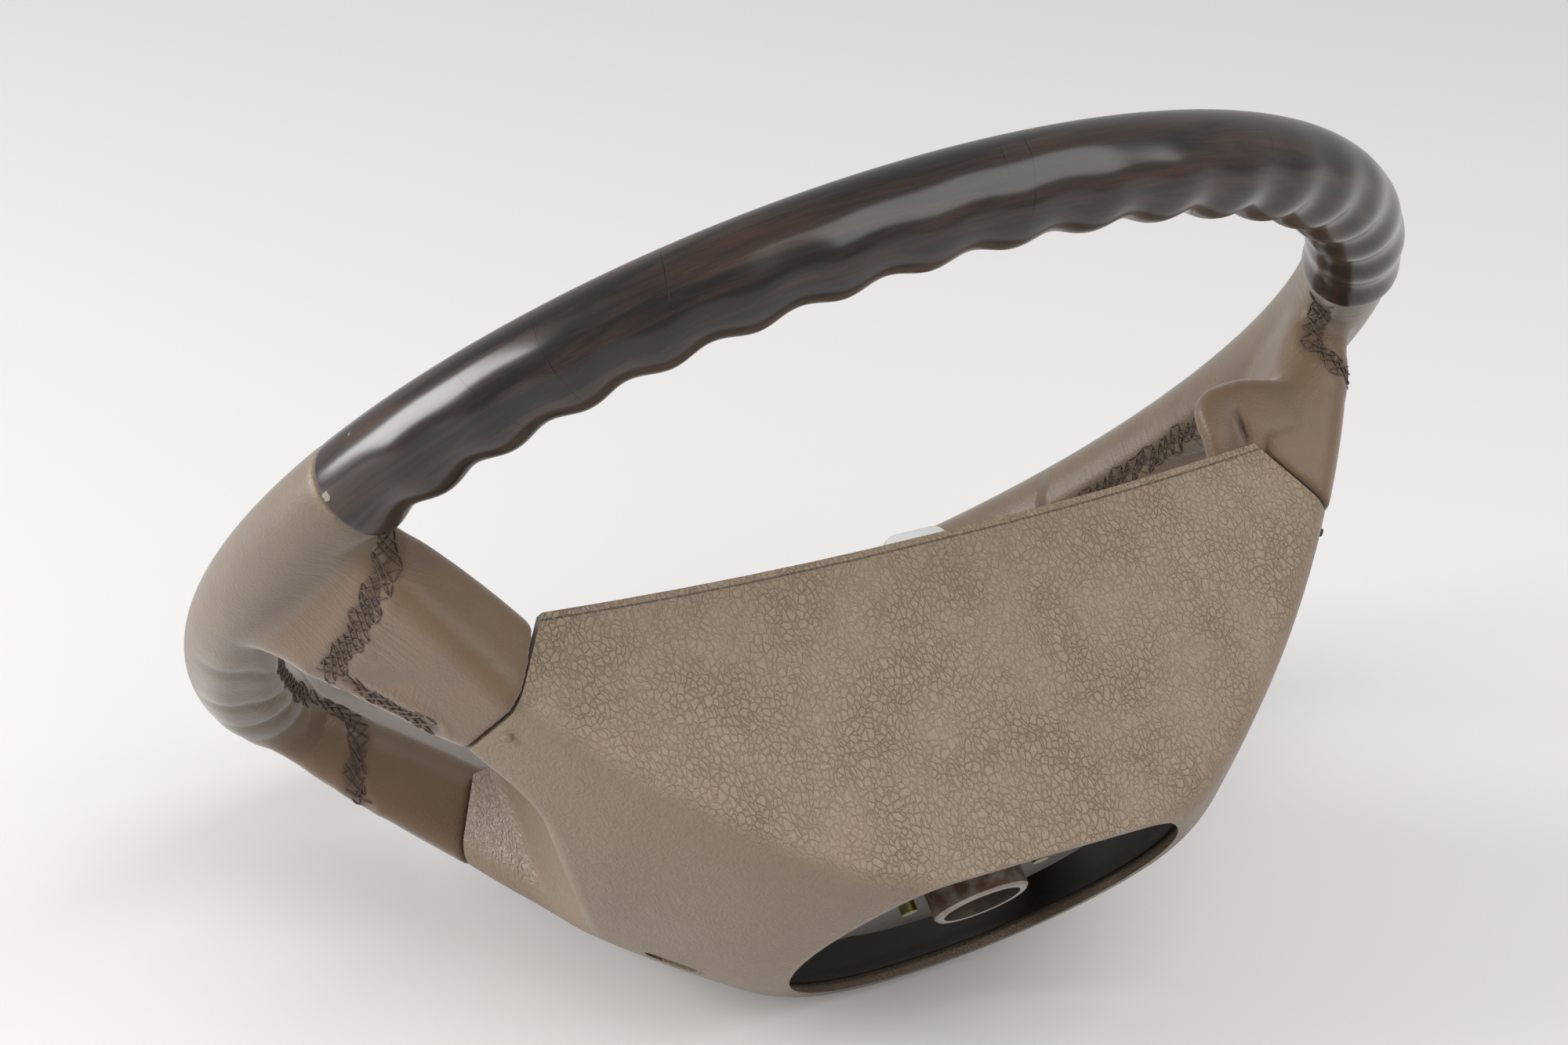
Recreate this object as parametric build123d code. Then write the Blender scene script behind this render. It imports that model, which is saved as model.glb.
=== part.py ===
from build123d import *
import math
import os

# Four-spoke car steering wheel without its airbag module, in millimetres.
# X is the driver's right, Y points back along the column and Z points to 12 o'clock.
# The origin is the middle of the hub's rear mouth, where the column shaft enters.

# Rim
rim_radius = 180.0
rim_to_hub_mouth = 145.0
rim_core_radius = 5.0
wood_right_end = 69.0
wood_left_end = 65.5
wood_radius = 14.9
wood_shift = 1.3
wood_end_gap = 0.4
groove_pitch = 25.0
groove_depth = 2.2
groove_land = 3.0
groove_side_angle = 118.0
grip_radius = 13.8
leather_thickness = 1.2
skin_gap = 0.1

# Hub tube
hub_length = 46.0
hub_radius = 14.75
shaft_bore_radius = 9.0
hub_mouth_radius = 12.0
hub_mouth_depth = 14.0
nut_seat_radius = 12.5
nut_seat_depth = 6.0
hub_chamfer = 0.8

# Spider: pressed disc with four channel arms
disc_set_back = 10.0
disc_thickness = 5.0
disc_radius = 46.0
arm_width = 18.0
arm_depth = 8.0
arm_wall = 3.0
arm_start = 34.0
arm_first_bend = 48.0
arm_second_bend = 116.0
arm_second_depth = 54.0
arm_end_reach = 177.0
arm_end_depth = 143.0
arm_bend_radius = 22.0

# Spoke pads, modelled at 3 o'clock and turned to their places
upper_spoke_angle = 77.0
lower_spoke_angle = 140.0
seam_reach = 130.4
seam_depth = 103.0
seam_slope = 57.3
seam_gap = 0.8
spoke_half_height = 18.0
spoke_width = 30.0
spoke_corner = 8.5
waist_centre = (154.5, -112.0, -7.0)
waist_width = 27.0
waist_height = 50.0
waist_tilt = 33.0
root_centre = (175.5, -141.8, -22.0)
root_width = 18.5
root_height = 70.0
root_tilt = 34.0
tongue_reach = 116.0
tongue_length = 30.0
tongue_rise = 21.0
tongue_top = 20.0
tongue_thickness = 8.0
tongue_corner = 10.0
tongue_round = 3.0
slot_length = 10.0
slot_width = 2.4
slot_inset = 10.5

# Rear cover: a bowl trimmed to a four-armed outline
bowl_curve = 420.0
bowl_curve_reach = -188.0
bowl_curve_depth = 332.0
cover_wall = 3.0
mouth_radius = 64.0
mouth_end = 1.5
mouth_foot = 77.0
mouth_roll = (-1.0, 0.35)
mouth_throat = (-0.3, 1.0)
cover_front_middle = 98.0
cover_front_corner = 103.0
cover_top_middle = 50.0
cover_top_corner = 47.5
cover_corner_reach = 123.0
cover_waist = (94.0, -57.0)
cover_bottom = -88.0
arm_notch_reach = 126.0
arm_notch_round = 10.0
waist_round = 18.0
lower_notch_reach = 122.0
lower_notch_round = 8.0
bottom_notch_reach = 108.0
bottom_notch_round = 16.0
crease_round = 9.0
crease_ease = 4.0
upright_slope = 0.02
level_slope = 0.999
scoop_length = 15.0
scoop_width = 8.0
scoop_reach = 79.5
scoop_height = -41.0

# Black liner behind the cover's mouth and scoops
liner_wall = 1.6
liner_gap = 0.2
liner_reach = 104.0
liner_set_in = 4.0

# Horn mechanism
sheet = 2.0
carrier_base_half = 29.0
carrier_base_width = 34.0
carrier_rise = 42.0
carrier_reach = 64.0
carrier_width = 50.0
carrier_bend = 3.0
carrier_screw_circle = 20.6
carrier_screw_angle = 119.0
carrier_screw_radius = 2.5
carrier_screw_head_radius = 4.2
carrier_screw_head = 3.0
carrier_screw_tip = 4.5
post_reach = 48.0
post_height = 16.0
post_radius = 3.0
post_head_radius = 6.5
post_head = 2.5
post_thread_radius = 2.5
post_tip = 4.0
spring_length = 18.0
spring_radius = 5.4
spring_wire_radius = 0.6
spring_turns = 4
bush_radius = 4.4
bush_flange_radius = 7.4
bush_flange = 1.5
bush_proud = 1.0
running_clearance = 0.08
fit_clearance = 0.1
horn_travel = 1.8
contact_spare = 0.3
contact_radius = 2.5
contact_height = 2.2
contact_button = 1.2
insulator_radius = 5.0
plate_half_width = 66.0
plate_half_height = 33.0
plate_corner = 9.0
plate_window_radius = 27.0
lug_half_width = 11.0
lug_seat = 42.0
lug_rise = 24.8
lug_corner = 5.0
lug_bend = 2.5

# Cover fasteners
boss_reach = 78.0
boss_radius = 4.6
cover_screw_radius = 2.0
cover_screw_head_radius = 4.0
cover_screw_head = 2.4
cover_screw_bite = 7.0
clip_radius = 1.3
clip_stand = 1.6
clip_length = 5.0
clip_x = 139.0
clip_z = 36.0

# Worked out from the sizes above
rim_y = -rim_to_hub_mouth
disc_rear = -disc_set_back
disc_front = disc_rear - disc_thickness
carrier_base_front = disc_front - sheet
carrier_flange_front = disc_front - carrier_rise
bush_seat = carrier_flange_front - spring_length
plate_rear = bush_seat - bush_flange
plate_front = plate_rear - sheet
bush_front = plate_front - bush_proud
post_head_rear = bush_front - fit_clearance
seam_along = (math.cos(math.radians(seam_slope)), math.sin(math.radians(seam_slope)))
far = 2 * rim_radius


def turned(shape, clock_angle):
    """Turn a shape modelled at 3 o'clock to a clock angle measured from 12 o'clock."""
    return Rot(0, clock_angle - 90.0, 0) * shape


def at_clock(reach, side, clock_angle):
    """Front-view point (X, Z) at a reach along a clock angle and a step to its upper side."""
    turn = math.radians(clock_angle - 90.0)
    x = reach * math.cos(turn) + side * math.sin(turn)
    z = -reach * math.sin(turn) + side * math.cos(turn)
    return (x, z)


def left_and_right(shape):
    """The shape together with its mirror image across the wheel's middle plane."""
    return [shape, mirror(shape, about=Plane.YZ)]


def rod(radius, rear, front, x=0.0, z=0.0):
    """Round bar along Y between two depths."""
    return Pos(x, (rear + front) / 2, z) * Rot(90, 0, 0) * Cylinder(radius, abs(rear - front))


def ring(minor):
    """Torus on the rim's own circle with the given section radius."""
    return Pos(0, rim_y, 0) * Rot(90, 0, 0) * Torus(rim_radius, minor)


def rim_arc(outer, inner, start_angle, arc_angle):
    """Hollow arc of the rim that runs on clockwise from a clock angle."""
    return rim_sweep(Circle(outer) - Circle(inner), start_angle, arc_angle)


def rim_sweep(section, start_angle, arc_angle):
    """Section drawn about the rim's circle, carried round it from a clock angle."""
    return turned(revolve(Pos(rim_radius, rim_y) * section, Axis.Y, arc_angle), start_angle)


def rim_plane(clock_angle):
    """Section plane of the rim: x outwards, y towards the column, z along the rim."""
    turn = math.radians(clock_angle)
    outwards = Vector(math.sin(turn), 0, math.cos(turn))
    centre = outwards * rim_radius + Vector(0, rim_y, 0)
    return Plane(origin=centre, x_dir=outwards, z_dir=(-math.cos(turn), 0, math.sin(turn)))


def make_wood_rim():
    """Upper arc of the rim, fuller on the finger side and grooved there by rings set off to that side."""
    arc_angle = wood_left_end + wood_right_end
    side = math.radians(groove_side_angle)
    finger_side = Vector(math.cos(side), math.sin(side), 0)
    section = Pos(finger_side * wood_shift) * Circle(wood_radius) - Circle(rim_core_radius)
    blank = rim_sweep(section, -wood_left_end, arc_angle)
    count = round(math.radians(arc_angle) * rim_radius / groove_pitch)
    half_width = (groove_pitch * (1 - wood_radius / rim_radius) - groove_land) / 2
    tool_radius = (half_width**2 + groove_depth**2) / (2 * groove_depth)
    tool_place = Pos(finger_side * (wood_shift - groove_depth))
    tools = []
    for step in range(count):
        angle = arc_angle * (step + 0.5) / count - wood_left_end
        tools.append(rim_plane(angle) * tool_place * Torus(wood_radius + tool_radius, tool_radius))
    return blank - tools


def make_hub_tube():
    """Turned steel tube with a wide rear mouth, the shaft bore and a seat for the shaft nut."""
    tube = rod(hub_radius, 0, -hub_length)
    tube = chamfer(tube.edges().filter_by(GeomType.CIRCLE), hub_chamfer)
    bore = rod(shaft_bore_radius, 0, -hub_length)
    mouth = rod(hub_mouth_radius, 0, -hub_mouth_depth)
    seat = rod(nut_seat_radius, -hub_length + nut_seat_depth, -hub_length)
    return tube - bore - mouth - seat


def arm_path():
    """Line of a spider arm in plan, from the disc to the rim core."""
    level = disc_rear - arm_wall / 2
    points = [
        (arm_start, level),
        (arm_first_bend, level),
        (arm_second_bend, -arm_second_depth),
        (arm_end_reach, -arm_end_depth),
    ]
    return FilletPolyline(*points, radius=arm_bend_radius)


def make_arm():
    """Channel-section arm at 3 o'clock, open towards the driver."""
    path = arm_path()
    side = arm_width / 2 - arm_wall / 2
    web = Rectangle(arm_wall, arm_width)
    lip = Pos(-(arm_depth - arm_wall) / 2, 0) * Rectangle(arm_depth, arm_wall)
    section = web + Pos(0, side) * lip + Pos(0, -side) * lip
    start = Plane(origin=path @ 0, x_dir=(0, 1, 0), z_dir=path % 0)
    return sweep(start * section, path)


def make_spider():
    """Pressed steel disc and arms, with holes for the hub tube and the screws."""
    disc = rod(disc_radius, disc_rear, disc_front) - rod(hub_radius + skin_gap, disc_rear, disc_front)
    for x, z in carrier_screw_places():
        disc -= rod(carrier_screw_radius, disc_rear, disc_front, x, z)
    arm = make_arm() - cover_screw_hole() - ring(rim_core_radius)
    spider = disc
    for angle in (upper_spoke_angle, lower_spoke_angle):
        for one in left_and_right(turned(arm, angle)):
            spider += one
    return spider


def carrier_screw_places():
    """The two screws stand on opposite sides of the hub tube."""
    x, z = at_clock(carrier_screw_circle, 0, carrier_screw_angle)
    return [(x, z), (-x, -z)]


def spoke_plane(centre, tilt):
    """Section plane of a spoke at 3 o'clock: x along the depth, y towards 12 o'clock."""
    lean = math.radians(tilt)
    depth_line = (math.sin(lean), math.cos(lean), 0)
    facing = (math.cos(lean), -math.sin(lean), 0)
    return Plane(origin=centre, x_dir=depth_line, z_dir=facing)


def make_spoke_form(inset):
    """Padded spoke: a loft from the cover seam through its waist to the flared root at the rim."""
    middle = spoke_width / 2
    seam_centre = (seam_reach + middle * seam_along[0], -seam_depth + middle * seam_along[1], 0)
    stations = [
        (seam_centre, 90.0 - seam_slope, spoke_width, 2 * spoke_half_height),
        (waist_centre, waist_tilt, waist_width, waist_height),
        (root_centre, root_tilt, root_width, root_height),
    ]
    faces = []
    for centre, tilt, wide, high in stations:
        outline = RectangleRounded(wide - 2 * inset, high - 2 * inset, spoke_corner - inset)
        faces.append(spoke_plane(centre, tilt) * outline)
    return loft(faces)


def make_tongue_form(inset):
    """Rounded tongue at the front of a spoke that reaches inwards ahead of the cover's edge."""
    rear = -cover_front_corner - seam_gap
    size = (tongue_length - 2 * inset, tongue_rise - inset, tongue_thickness - 2 * inset)
    centre = (tongue_reach + tongue_length / 2, rear - size[1] / 2, tongue_top - tongue_thickness / 2)
    block = Pos(*centre) * Box(*size)
    corner = block.edges().filter_by(Axis.Z).sort_by(Axis.Y)[:2].sort_by(Axis.X)[:1]
    block = fillet(corner, tongue_corner - inset)
    faces = block.faces().sort_by(Axis.Z)
    buried = centre[0] + size[0] / 2 - skin_gap
    soft = []
    for edge in faces[-1].edges() + faces[0].edges():
        middle = edge @ 0.5
        if middle.Y < rear - inset - skin_gap and middle.X < buried:
            soft.append(edge)
    return fillet(soft, tongue_round - inset)


def tongue_slot():
    """Slit through the tongue, open towards the cover's edge."""
    rear = -cover_front_corner - seam_gap
    middle = tongue_top - tongue_thickness / 2
    slit = Box(slot_width, slot_length, 2 * tongue_thickness)
    return Pos(tongue_reach + slot_inset, rear - slot_length / 2, middle) * slit


def make_pads(inset):
    """Plain spoke pad and the one with the tongue, both cut clear of the rim grip."""
    grip = ring(grip_radius + skin_gap)
    plain = make_spoke_form(inset)
    tongued = plain + make_tongue_form(inset) - tongue_slot()
    return plain - grip, tongued - grip


def make_spokes(spider):
    """Foam core and leather cover of each spoke; only the upper left one has the tongue."""
    outside = make_pads(0)
    inside = make_pads(leather_thickness)
    plain_skin, tongued_skin = [whole - core for whole, core in zip(outside, inside)]
    plain_core, tongued_core = inside
    below = Plane.XY
    across = Plane.YZ
    placed = {
        "upper_right": (turned(plain_skin, upper_spoke_angle), turned(plain_core, upper_spoke_angle)),
        "lower_right": (
            turned(mirror(plain_skin, about=below), lower_spoke_angle),
            turned(mirror(plain_core, about=below), lower_spoke_angle),
        ),
        "upper_left": (
            mirror(turned(tongued_skin, upper_spoke_angle), about=across),
            mirror(turned(tongued_core, upper_spoke_angle), about=across),
        ),
    }
    placed["lower_left"] = [mirror(shape, about=across) for shape in placed["lower_right"]]
    nodes = {}
    for place, (skin, core) in placed.items():
        nodes[f"{place}_spoke_leather"] = skin
        nodes[f"{place}_spoke_foam"] = core - spider
    return nodes


def bowl_reach(depth, inset):
    """Radius of the bowl at a depth."""
    return bowl_curve_reach + math.sqrt((bowl_curve - inset) ** 2 - (depth + bowl_curve_depth) ** 2)


def bowl_depth(reach, inset):
    """Depth of the bowl at a radius."""
    return -bowl_curve_depth + math.sqrt((bowl_curve - inset) ** 2 - (reach - bowl_curve_reach) ** 2)


def bowl_fall(reach, inset):
    """Slope of the bowl at a radius, as depth gained for each millimetre towards the axis."""
    return (reach - bowl_curve_reach) / (bowl_depth(reach, inset) + bowl_curve_depth)


def make_bowl(inset):
    """Solid of the cover's rear form: a slightly bulged cone that turns in to a lip round the column."""
    front = -cover_front_corner - cover_wall
    wide = bowl_reach(front, inset)
    foot = mouth_foot - inset
    half = (wide + foot) / 2
    mouth = mouth_radius - inset
    side = Spline(
        [(wide, front), (half, bowl_depth(half, inset)), (foot, bowl_depth(foot, inset))],
        tangents=[(-1, bowl_fall(wide, inset)), (-1, bowl_fall(foot, inset))],
    )
    lip_end = mouth_throat if inset > 0 else mouth_roll
    lip = Spline([side @ 1, (mouth, mouth_end)], tangents=[side % 1, lip_end])
    axis_side = Polyline((mouth, mouth_end), (0, mouth_end), (0, front), (wide, front))
    return revolve(make_face([side, lip, axis_side]), Axis.Y)


def make_outline(inset):
    """Front outline of the cover, pulled in by an inset, carried along Y."""
    edge = spoke_half_height - inset
    beyond = rim_radius
    top_middle = (0, cover_top_middle - inset)
    top_corner = (cover_corner_reach, cover_top_corner - inset)
    fall = (cover_top_middle - cover_top_corner) / cover_corner_reach
    top_end = (beyond, cover_top_corner - inset - fall * (beyond - cover_corner_reach) * 2)
    notch = at_clock(arm_notch_reach, -edge, upper_spoke_angle)
    waist = (cover_waist[0] - inset, cover_waist[1])
    lower_notch = at_clock(lower_notch_reach, edge, lower_spoke_angle)
    bottom_notch = at_clock(bottom_notch_reach, -edge, lower_spoke_angle)
    bottom = (0, cover_bottom + inset)
    right = [
        top_corner,
        top_end,
        at_clock(beyond, -edge, upper_spoke_angle),
        notch,
        waist,
        lower_notch,
        at_clock(beyond, edge, lower_spoke_angle),
        at_clock(beyond, -edge, lower_spoke_angle),
        bottom_notch,
    ]
    left = [(-x, z) for x, z in reversed(right)]
    face = make_face(Polyline(top_middle, *right, bottom, *left, close=True))
    rounds = {
        top_middle: rim_radius,
        top_corner: rim_radius,
        notch: arm_notch_round,
        waist: waist_round,
        lower_notch: lower_notch_round,
        bottom_notch: bottom_notch_round,
        bottom: rim_radius,
    }
    for (x, z), radius in rounds.items():
        corners = [v for v in face.vertices() if math.hypot(abs(v.X) - x, v.Y - z) < skin_gap]
        face = fillet(corners, radius)
    return extrude(Plane.XZ * Pos(0, 0, -rim_radius) * face, amount=2 * rim_radius)


def crease_edges(form):
    """Edges where the upright walls of a trimmed bowl meet its curved side."""
    faces = form.faces()
    crease = []
    for edge in form.edges():
        slopes = [abs(face.normal_at(edge @ 0.5).Y) for face in faces if edge in face.edges()]
        if min(slopes) < upright_slope < max(slopes) < level_slope:
            crease.append(edge)
    return crease


def make_cover_form(inset):
    """Trimmed bowl: its crease is rounded on the outside and eased on the inside."""
    form = make_bowl(inset) & make_outline(inset)
    if inset > 0:
        return chamfer(crease_edges(form), crease_ease)
    return fillet(crease_edges(form), crease_round)


def front_of_cover():
    """Space in front of the cover's gently arched front edge."""
    reach = cover_corner_reach
    depth = -cover_front_corner
    arch = ThreePointArc((-reach, depth), (0, -cover_front_middle), (reach, depth))
    sides = Polyline(
        (reach, depth),
        (far, depth),
        (far, -far),
        (-far, -far),
        (-far, depth),
        (-reach, depth),
    )
    return extrude(Pos(0, 0, -far / 2) * make_face([arch, sides]), amount=far)


def beyond_seam(gap):
    """Space on the rim's side of a spoke seam at 3 o'clock, moved back by a gap."""
    across = (seam_along[1], -seam_along[0])
    near = (seam_reach - gap * across[0], -seam_depth - gap * across[1])
    size = rim_radius / 2
    rear = (near[0] + size * seam_along[0], near[1] + size * seam_along[1])
    front = (near[0] - size * seam_along[0], near[1] - size * seam_along[1])
    outer_front = (front[0] + size * across[0], front[1] + size * across[1])
    outer_rear = (rear[0] + size * across[0], rear[1] + size * across[1])
    face = make_face(Polyline(front, rear, outer_rear, outer_front, close=True))
    height = 3 * spoke_half_height
    return extrude(Pos(0, 0, -height / 2) * face, amount=height)


def arm_slope():
    """Direction of the arm's sloping stretch in plan."""
    run = arm_second_bend - arm_first_bend
    drop = arm_second_depth + disc_rear - arm_wall / 2
    return Vector(run, -drop, 0).normalized()


def boss_plane():
    """Plane on the rear face of an arm at 3 o'clock where a cover boss meets it."""
    slope = arm_slope()
    outwards = Vector(-slope.Y, slope.X, 0)
    level = disc_rear - arm_wall / 2
    on_line = Vector(boss_reach, level + slope.Y / slope.X * (boss_reach - arm_first_bend), 0)
    return Plane(origin=on_line + outwards * (arm_wall / 2), x_dir=slope, z_dir=outwards)


def cover_screw_hole():
    """Hole for a cover screw through an arm's web."""
    return boss_plane() * Cylinder(cover_screw_radius + fit_clearance, 4 * arm_wall)


def make_cover_screw():
    """Self-tapping screw through an arm at 3 o'clock into a cover boss."""
    length = arm_wall + cover_screw_bite
    shank = Pos(0, 0, cover_screw_bite - length / 2) * Cylinder(cover_screw_radius, length)
    head = Pos(0, 0, -arm_wall - cover_screw_head / 2) * Cylinder(cover_screw_head_radius, cover_screw_head)
    return boss_plane() * (shank + head)


def make_boss(radius):
    """Boss at 3 o'clock that reaches from an arm to the bowl."""
    length = rim_radius / 4
    return boss_plane() * Pos(0, 0, length / 2 + skin_gap) * Cylinder(radius, length)


def four_spokes(shape):
    """The shape of a 3 o'clock spoke repeated at the four spokes."""
    copies = []
    for angle in (upper_spoke_angle, lower_spoke_angle):
        copies += left_and_right(turned(shape, angle))
    return copies


def scoop():
    """Oblong hole on the cover's right flank that points away from the column."""
    place = (scoop_reach, 0, scoop_height)
    start = Plane(origin=place, x_dir=place, z_dir=(0, -1, 0))
    return extrude(start * SlotOverall(scoop_length, scoop_width), amount=rim_radius / 3)


def clip_plane():
    """Plane on the cover's face at the right-hand seam clip."""
    reach = math.hypot(clip_x, clip_z)
    depth = bowl_depth(reach, 0)
    lean = (reach - bowl_curve_reach) / reach
    outwards = Vector(clip_x * lean, depth + bowl_curve_depth, clip_z * lean)
    return Plane(origin=(clip_x, depth, clip_z), z_dir=outwards)


def make_rear_cover():
    """Moulded cover: a shell with four arms, screw bosses, clip holes and two screw scoops."""
    outside = make_cover_form(0)
    inside = make_cover_form(cover_wall)
    shell = outside - inside
    for cut in left_and_right(scoop()):
        shell -= cut
    shell -= front_of_cover()
    for cut in four_spokes(beyond_seam(seam_gap)):
        shell -= cut
    for hole in left_and_right(clip_plane() * Cylinder(clip_radius, 4 * cover_wall)):
        shell -= hole
    for boss in four_spokes(make_boss(boss_radius)):
        shell += boss & outside
    for pilot in four_spokes(make_cover_screw()):
        shell -= pilot
    return shell


def make_cover_liner():
    """Black skin that lines the cover behind its mouth and scoops, cut away for the screw bosses."""
    outer = cover_wall + liner_gap
    skin = make_cover_form(outer) - make_bowl(outer + liner_wall)
    liner = skin & rod(liner_reach, mouth_end - liner_set_in, -cover_front_middle)
    for boss in four_spokes(make_boss(boss_radius + 2 * fit_clearance)):
        liner -= boss
    return liner


def make_carrier():
    """Hat-shaped bracket on the disc whose flanges carry the spring posts."""
    base = disc_front - sheet / 2
    flange = carrier_flange_front + sheet / 2
    line = FilletPolyline(
        (-carrier_reach, flange),
        (-carrier_base_half, flange),
        (-carrier_base_half, base),
        (carrier_base_half, base),
        (carrier_base_half, flange),
        (carrier_reach, flange),
        radius=carrier_bend,
    )
    strip = extrude(Pos(0, 0, -carrier_width / 2) * trace(line, sheet), amount=carrier_width)
    spare = (carrier_width - carrier_base_width) / 2
    relief_depth = carrier_rise / 2
    relief = Box(2 * carrier_reach, 2 * relief_depth, spare)
    for side in (1, -1):
        strip -= Pos(0, disc_front, side * (carrier_width - spare) / 2) * relief
    strip -= rod(hub_radius + 2 * fit_clearance, disc_front, carrier_base_front)
    for x, z in carrier_screw_places():
        strip -= rod(carrier_screw_radius + fit_clearance, disc_front, carrier_base_front, x, z)
    for x, z in post_places():
        strip -= rod(post_thread_radius, carrier_flange_front + sheet, carrier_flange_front, x, z)
    for x, z in contact_places():
        strip -= rod(contact_radius, carrier_flange_front + sheet, carrier_flange_front, x, z)
    return strip


def make_carrier_screws():
    """Two screws that hold the carrier, with their ends standing out behind the disc."""
    screws = []
    for x, z in carrier_screw_places():
        shank = rod(carrier_screw_radius, disc_rear + carrier_screw_tip, carrier_base_front, x, z)
        head_front = carrier_base_front - carrier_screw_head
        screws.append(shank + rod(carrier_screw_head_radius, carrier_base_front, head_front, x, z))
    return Compound(screws)


def post_places():
    """Places of the four spring posts."""
    return [(x, z) for x in (post_reach, -post_reach) for z in (post_height, -post_height)]


def make_posts():
    """Shoulder bolts: thread through the flange, plain shank and a flat head."""
    posts = []
    for x, z in post_places():
        thread = rod(post_thread_radius, carrier_flange_front + sheet + post_tip, carrier_flange_front, x, z)
        shank = rod(post_radius, carrier_flange_front, post_head_rear, x, z)
        head = rod(post_head_radius, post_head_rear, post_head_rear - post_head, x, z)
        posts.append(thread + shank + head)
    return Compound(posts)


def make_springs():
    """Compression springs between the carrier's flanges and the bushes."""
    coil_height = spring_length - 2 * spring_wire_radius - 2 * fit_clearance
    path = Helix(coil_height / spring_turns, coil_height, spring_radius)
    start = Plane(origin=path @ 0, z_dir=path % 0)
    coil = sweep(start * Circle(spring_wire_radius), path, is_frenet=True)
    foot = carrier_flange_front - spring_wire_radius - fit_clearance
    return Compound([Pos(x, foot, z) * Rot(90, 0, 0) * coil for x, z in post_places()])


def make_bushes():
    """Flanged plastic bushes that guide the horn plate on the posts."""
    bushes = []
    for x, z in post_places():
        barrel = rod(bush_radius, plate_rear, bush_front, x, z)
        collar = rod(bush_flange_radius, bush_seat, plate_rear, x, z)
        bore = rod(post_radius + running_clearance, bush_seat, bush_front, x, z)
        bushes.append(barrel + collar - bore)
    return Compound(bushes)


def make_horn_plate():
    """Zinc-plated plate with a round window and a lug bent towards the driver."""
    outline = RectangleRounded(2 * plate_half_width, 2 * plate_half_height, plate_corner)
    window = Circle(plate_window_radius)
    plate = extrude(Plane.XZ * Pos(0, 0, -plate_rear) * (outline - window), amount=sheet)
    for x, z in post_places():
        plate -= rod(bush_radius, plate_rear, plate_front, x, z)
    for x, z in contact_places():
        plate -= rod(contact_radius / 2, plate_rear, plate_front, x, z)
    mid_depth = plate_rear - sheet / 2
    mid_lug = lug_seat + sheet / 2
    line = FilletPolyline(
        (plate_half_height - sheet, mid_depth),
        (mid_lug, mid_depth),
        (mid_lug, mid_depth - lug_rise),
        radius=lug_bend,
    )
    side_view = Plane(origin=(lug_half_width, 0, 0), x_dir=(0, 0, 1), z_dir=(-1, 0, 0))
    lug = extrude(side_view * trace(line, sheet), amount=2 * lug_half_width)
    tip_corners = lug.edges().filter_by(Axis.Z).sort_by(Axis.Y)[:2]
    return plate + fillet(tip_corners, lug_corner)


def contact_places():
    """Places of the two horn contacts, between the posts of each side."""
    return [(post_reach, 0), (-post_reach, 0)]


def make_contacts():
    """Plate contacts that move with the horn plate, fixed contacts and the insulators under them."""
    moving = []
    fixed = []
    insulators = []
    button_rear = plate_rear + contact_button
    tip = button_rear + horn_travel + contact_spare
    foot = tip + contact_height
    for x, z in contact_places():
        rivet = rod(contact_radius / 2, plate_rear, plate_front, x, z)
        moving.append(rivet + rod(contact_radius, button_rear, plate_rear, x, z))
        fixed.append(rod(contact_radius, foot, tip, x, z))
        peg = rod(contact_radius, carrier_flange_front + 2 * sheet, carrier_flange_front, x, z)
        insulators.append(peg + rod(insulator_radius, carrier_flange_front, foot, x, z))
    return Compound(moving), Compound(fixed), Compound(insulators)


def make_clips():
    """Pair of push pins at the upper seams, standing a little proud of the cover."""
    length = clip_length + clip_stand
    pin = Pos(0, 0, clip_stand - length / 2) * Cylinder(clip_radius, length)
    pin = fillet(pin.edges().sort_by(Axis.Z)[-1:], clip_radius / 2)
    return Compound(left_and_right(clip_plane() * pin))


spider = make_spider()
end_gap_angle = math.degrees(wood_end_gap / rim_radius)
leather_start = wood_right_end + end_gap_angle
leather_angle = 360.0 - wood_left_end - wood_right_end - 2 * end_gap_angle
grip_inner = grip_radius - leather_thickness
moving_contacts, fixed_contacts, insulators = make_contacts()

nodes = {
    "hub_boss": make_hub_tube(),
    "spider": spider,
    "rim_core": ring(rim_core_radius),
    "wood_rim": make_wood_rim(),
    "rim_foam": rim_arc(grip_inner, rim_core_radius, leather_start, leather_angle) - spider,
    "rim_leather": rim_arc(grip_radius, grip_inner, leather_start, leather_angle) - spider,
    "rear_cover": make_rear_cover(),
    "cover_liner": make_cover_liner(),
    "cover_clips": make_clips(),
    "cover_screws": Compound(four_spokes(make_cover_screw())),
    "carrier_bracket": make_carrier(),
    "carrier_screws": make_carrier_screws(),
    "shoulder_bolts": make_posts(),
    "horn_springs": make_springs(),
    "spring_bushes": make_bushes(),
    "horn_plate": make_horn_plate(),
    "plate_contacts": moving_contacts,
    "horn_contacts": fixed_contacts,
    "contact_insulators": insulators,
}
nodes.update(make_spokes(spider))

os.makedirs("parts", exist_ok=True)
for name, shape in nodes.items():
    export_step(shape, f"parts/{name}.step")
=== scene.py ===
import math

import bpy
import numpy as np
from mathutils import Matrix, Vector
from mathutils.bvhtree import BVHTree


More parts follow.
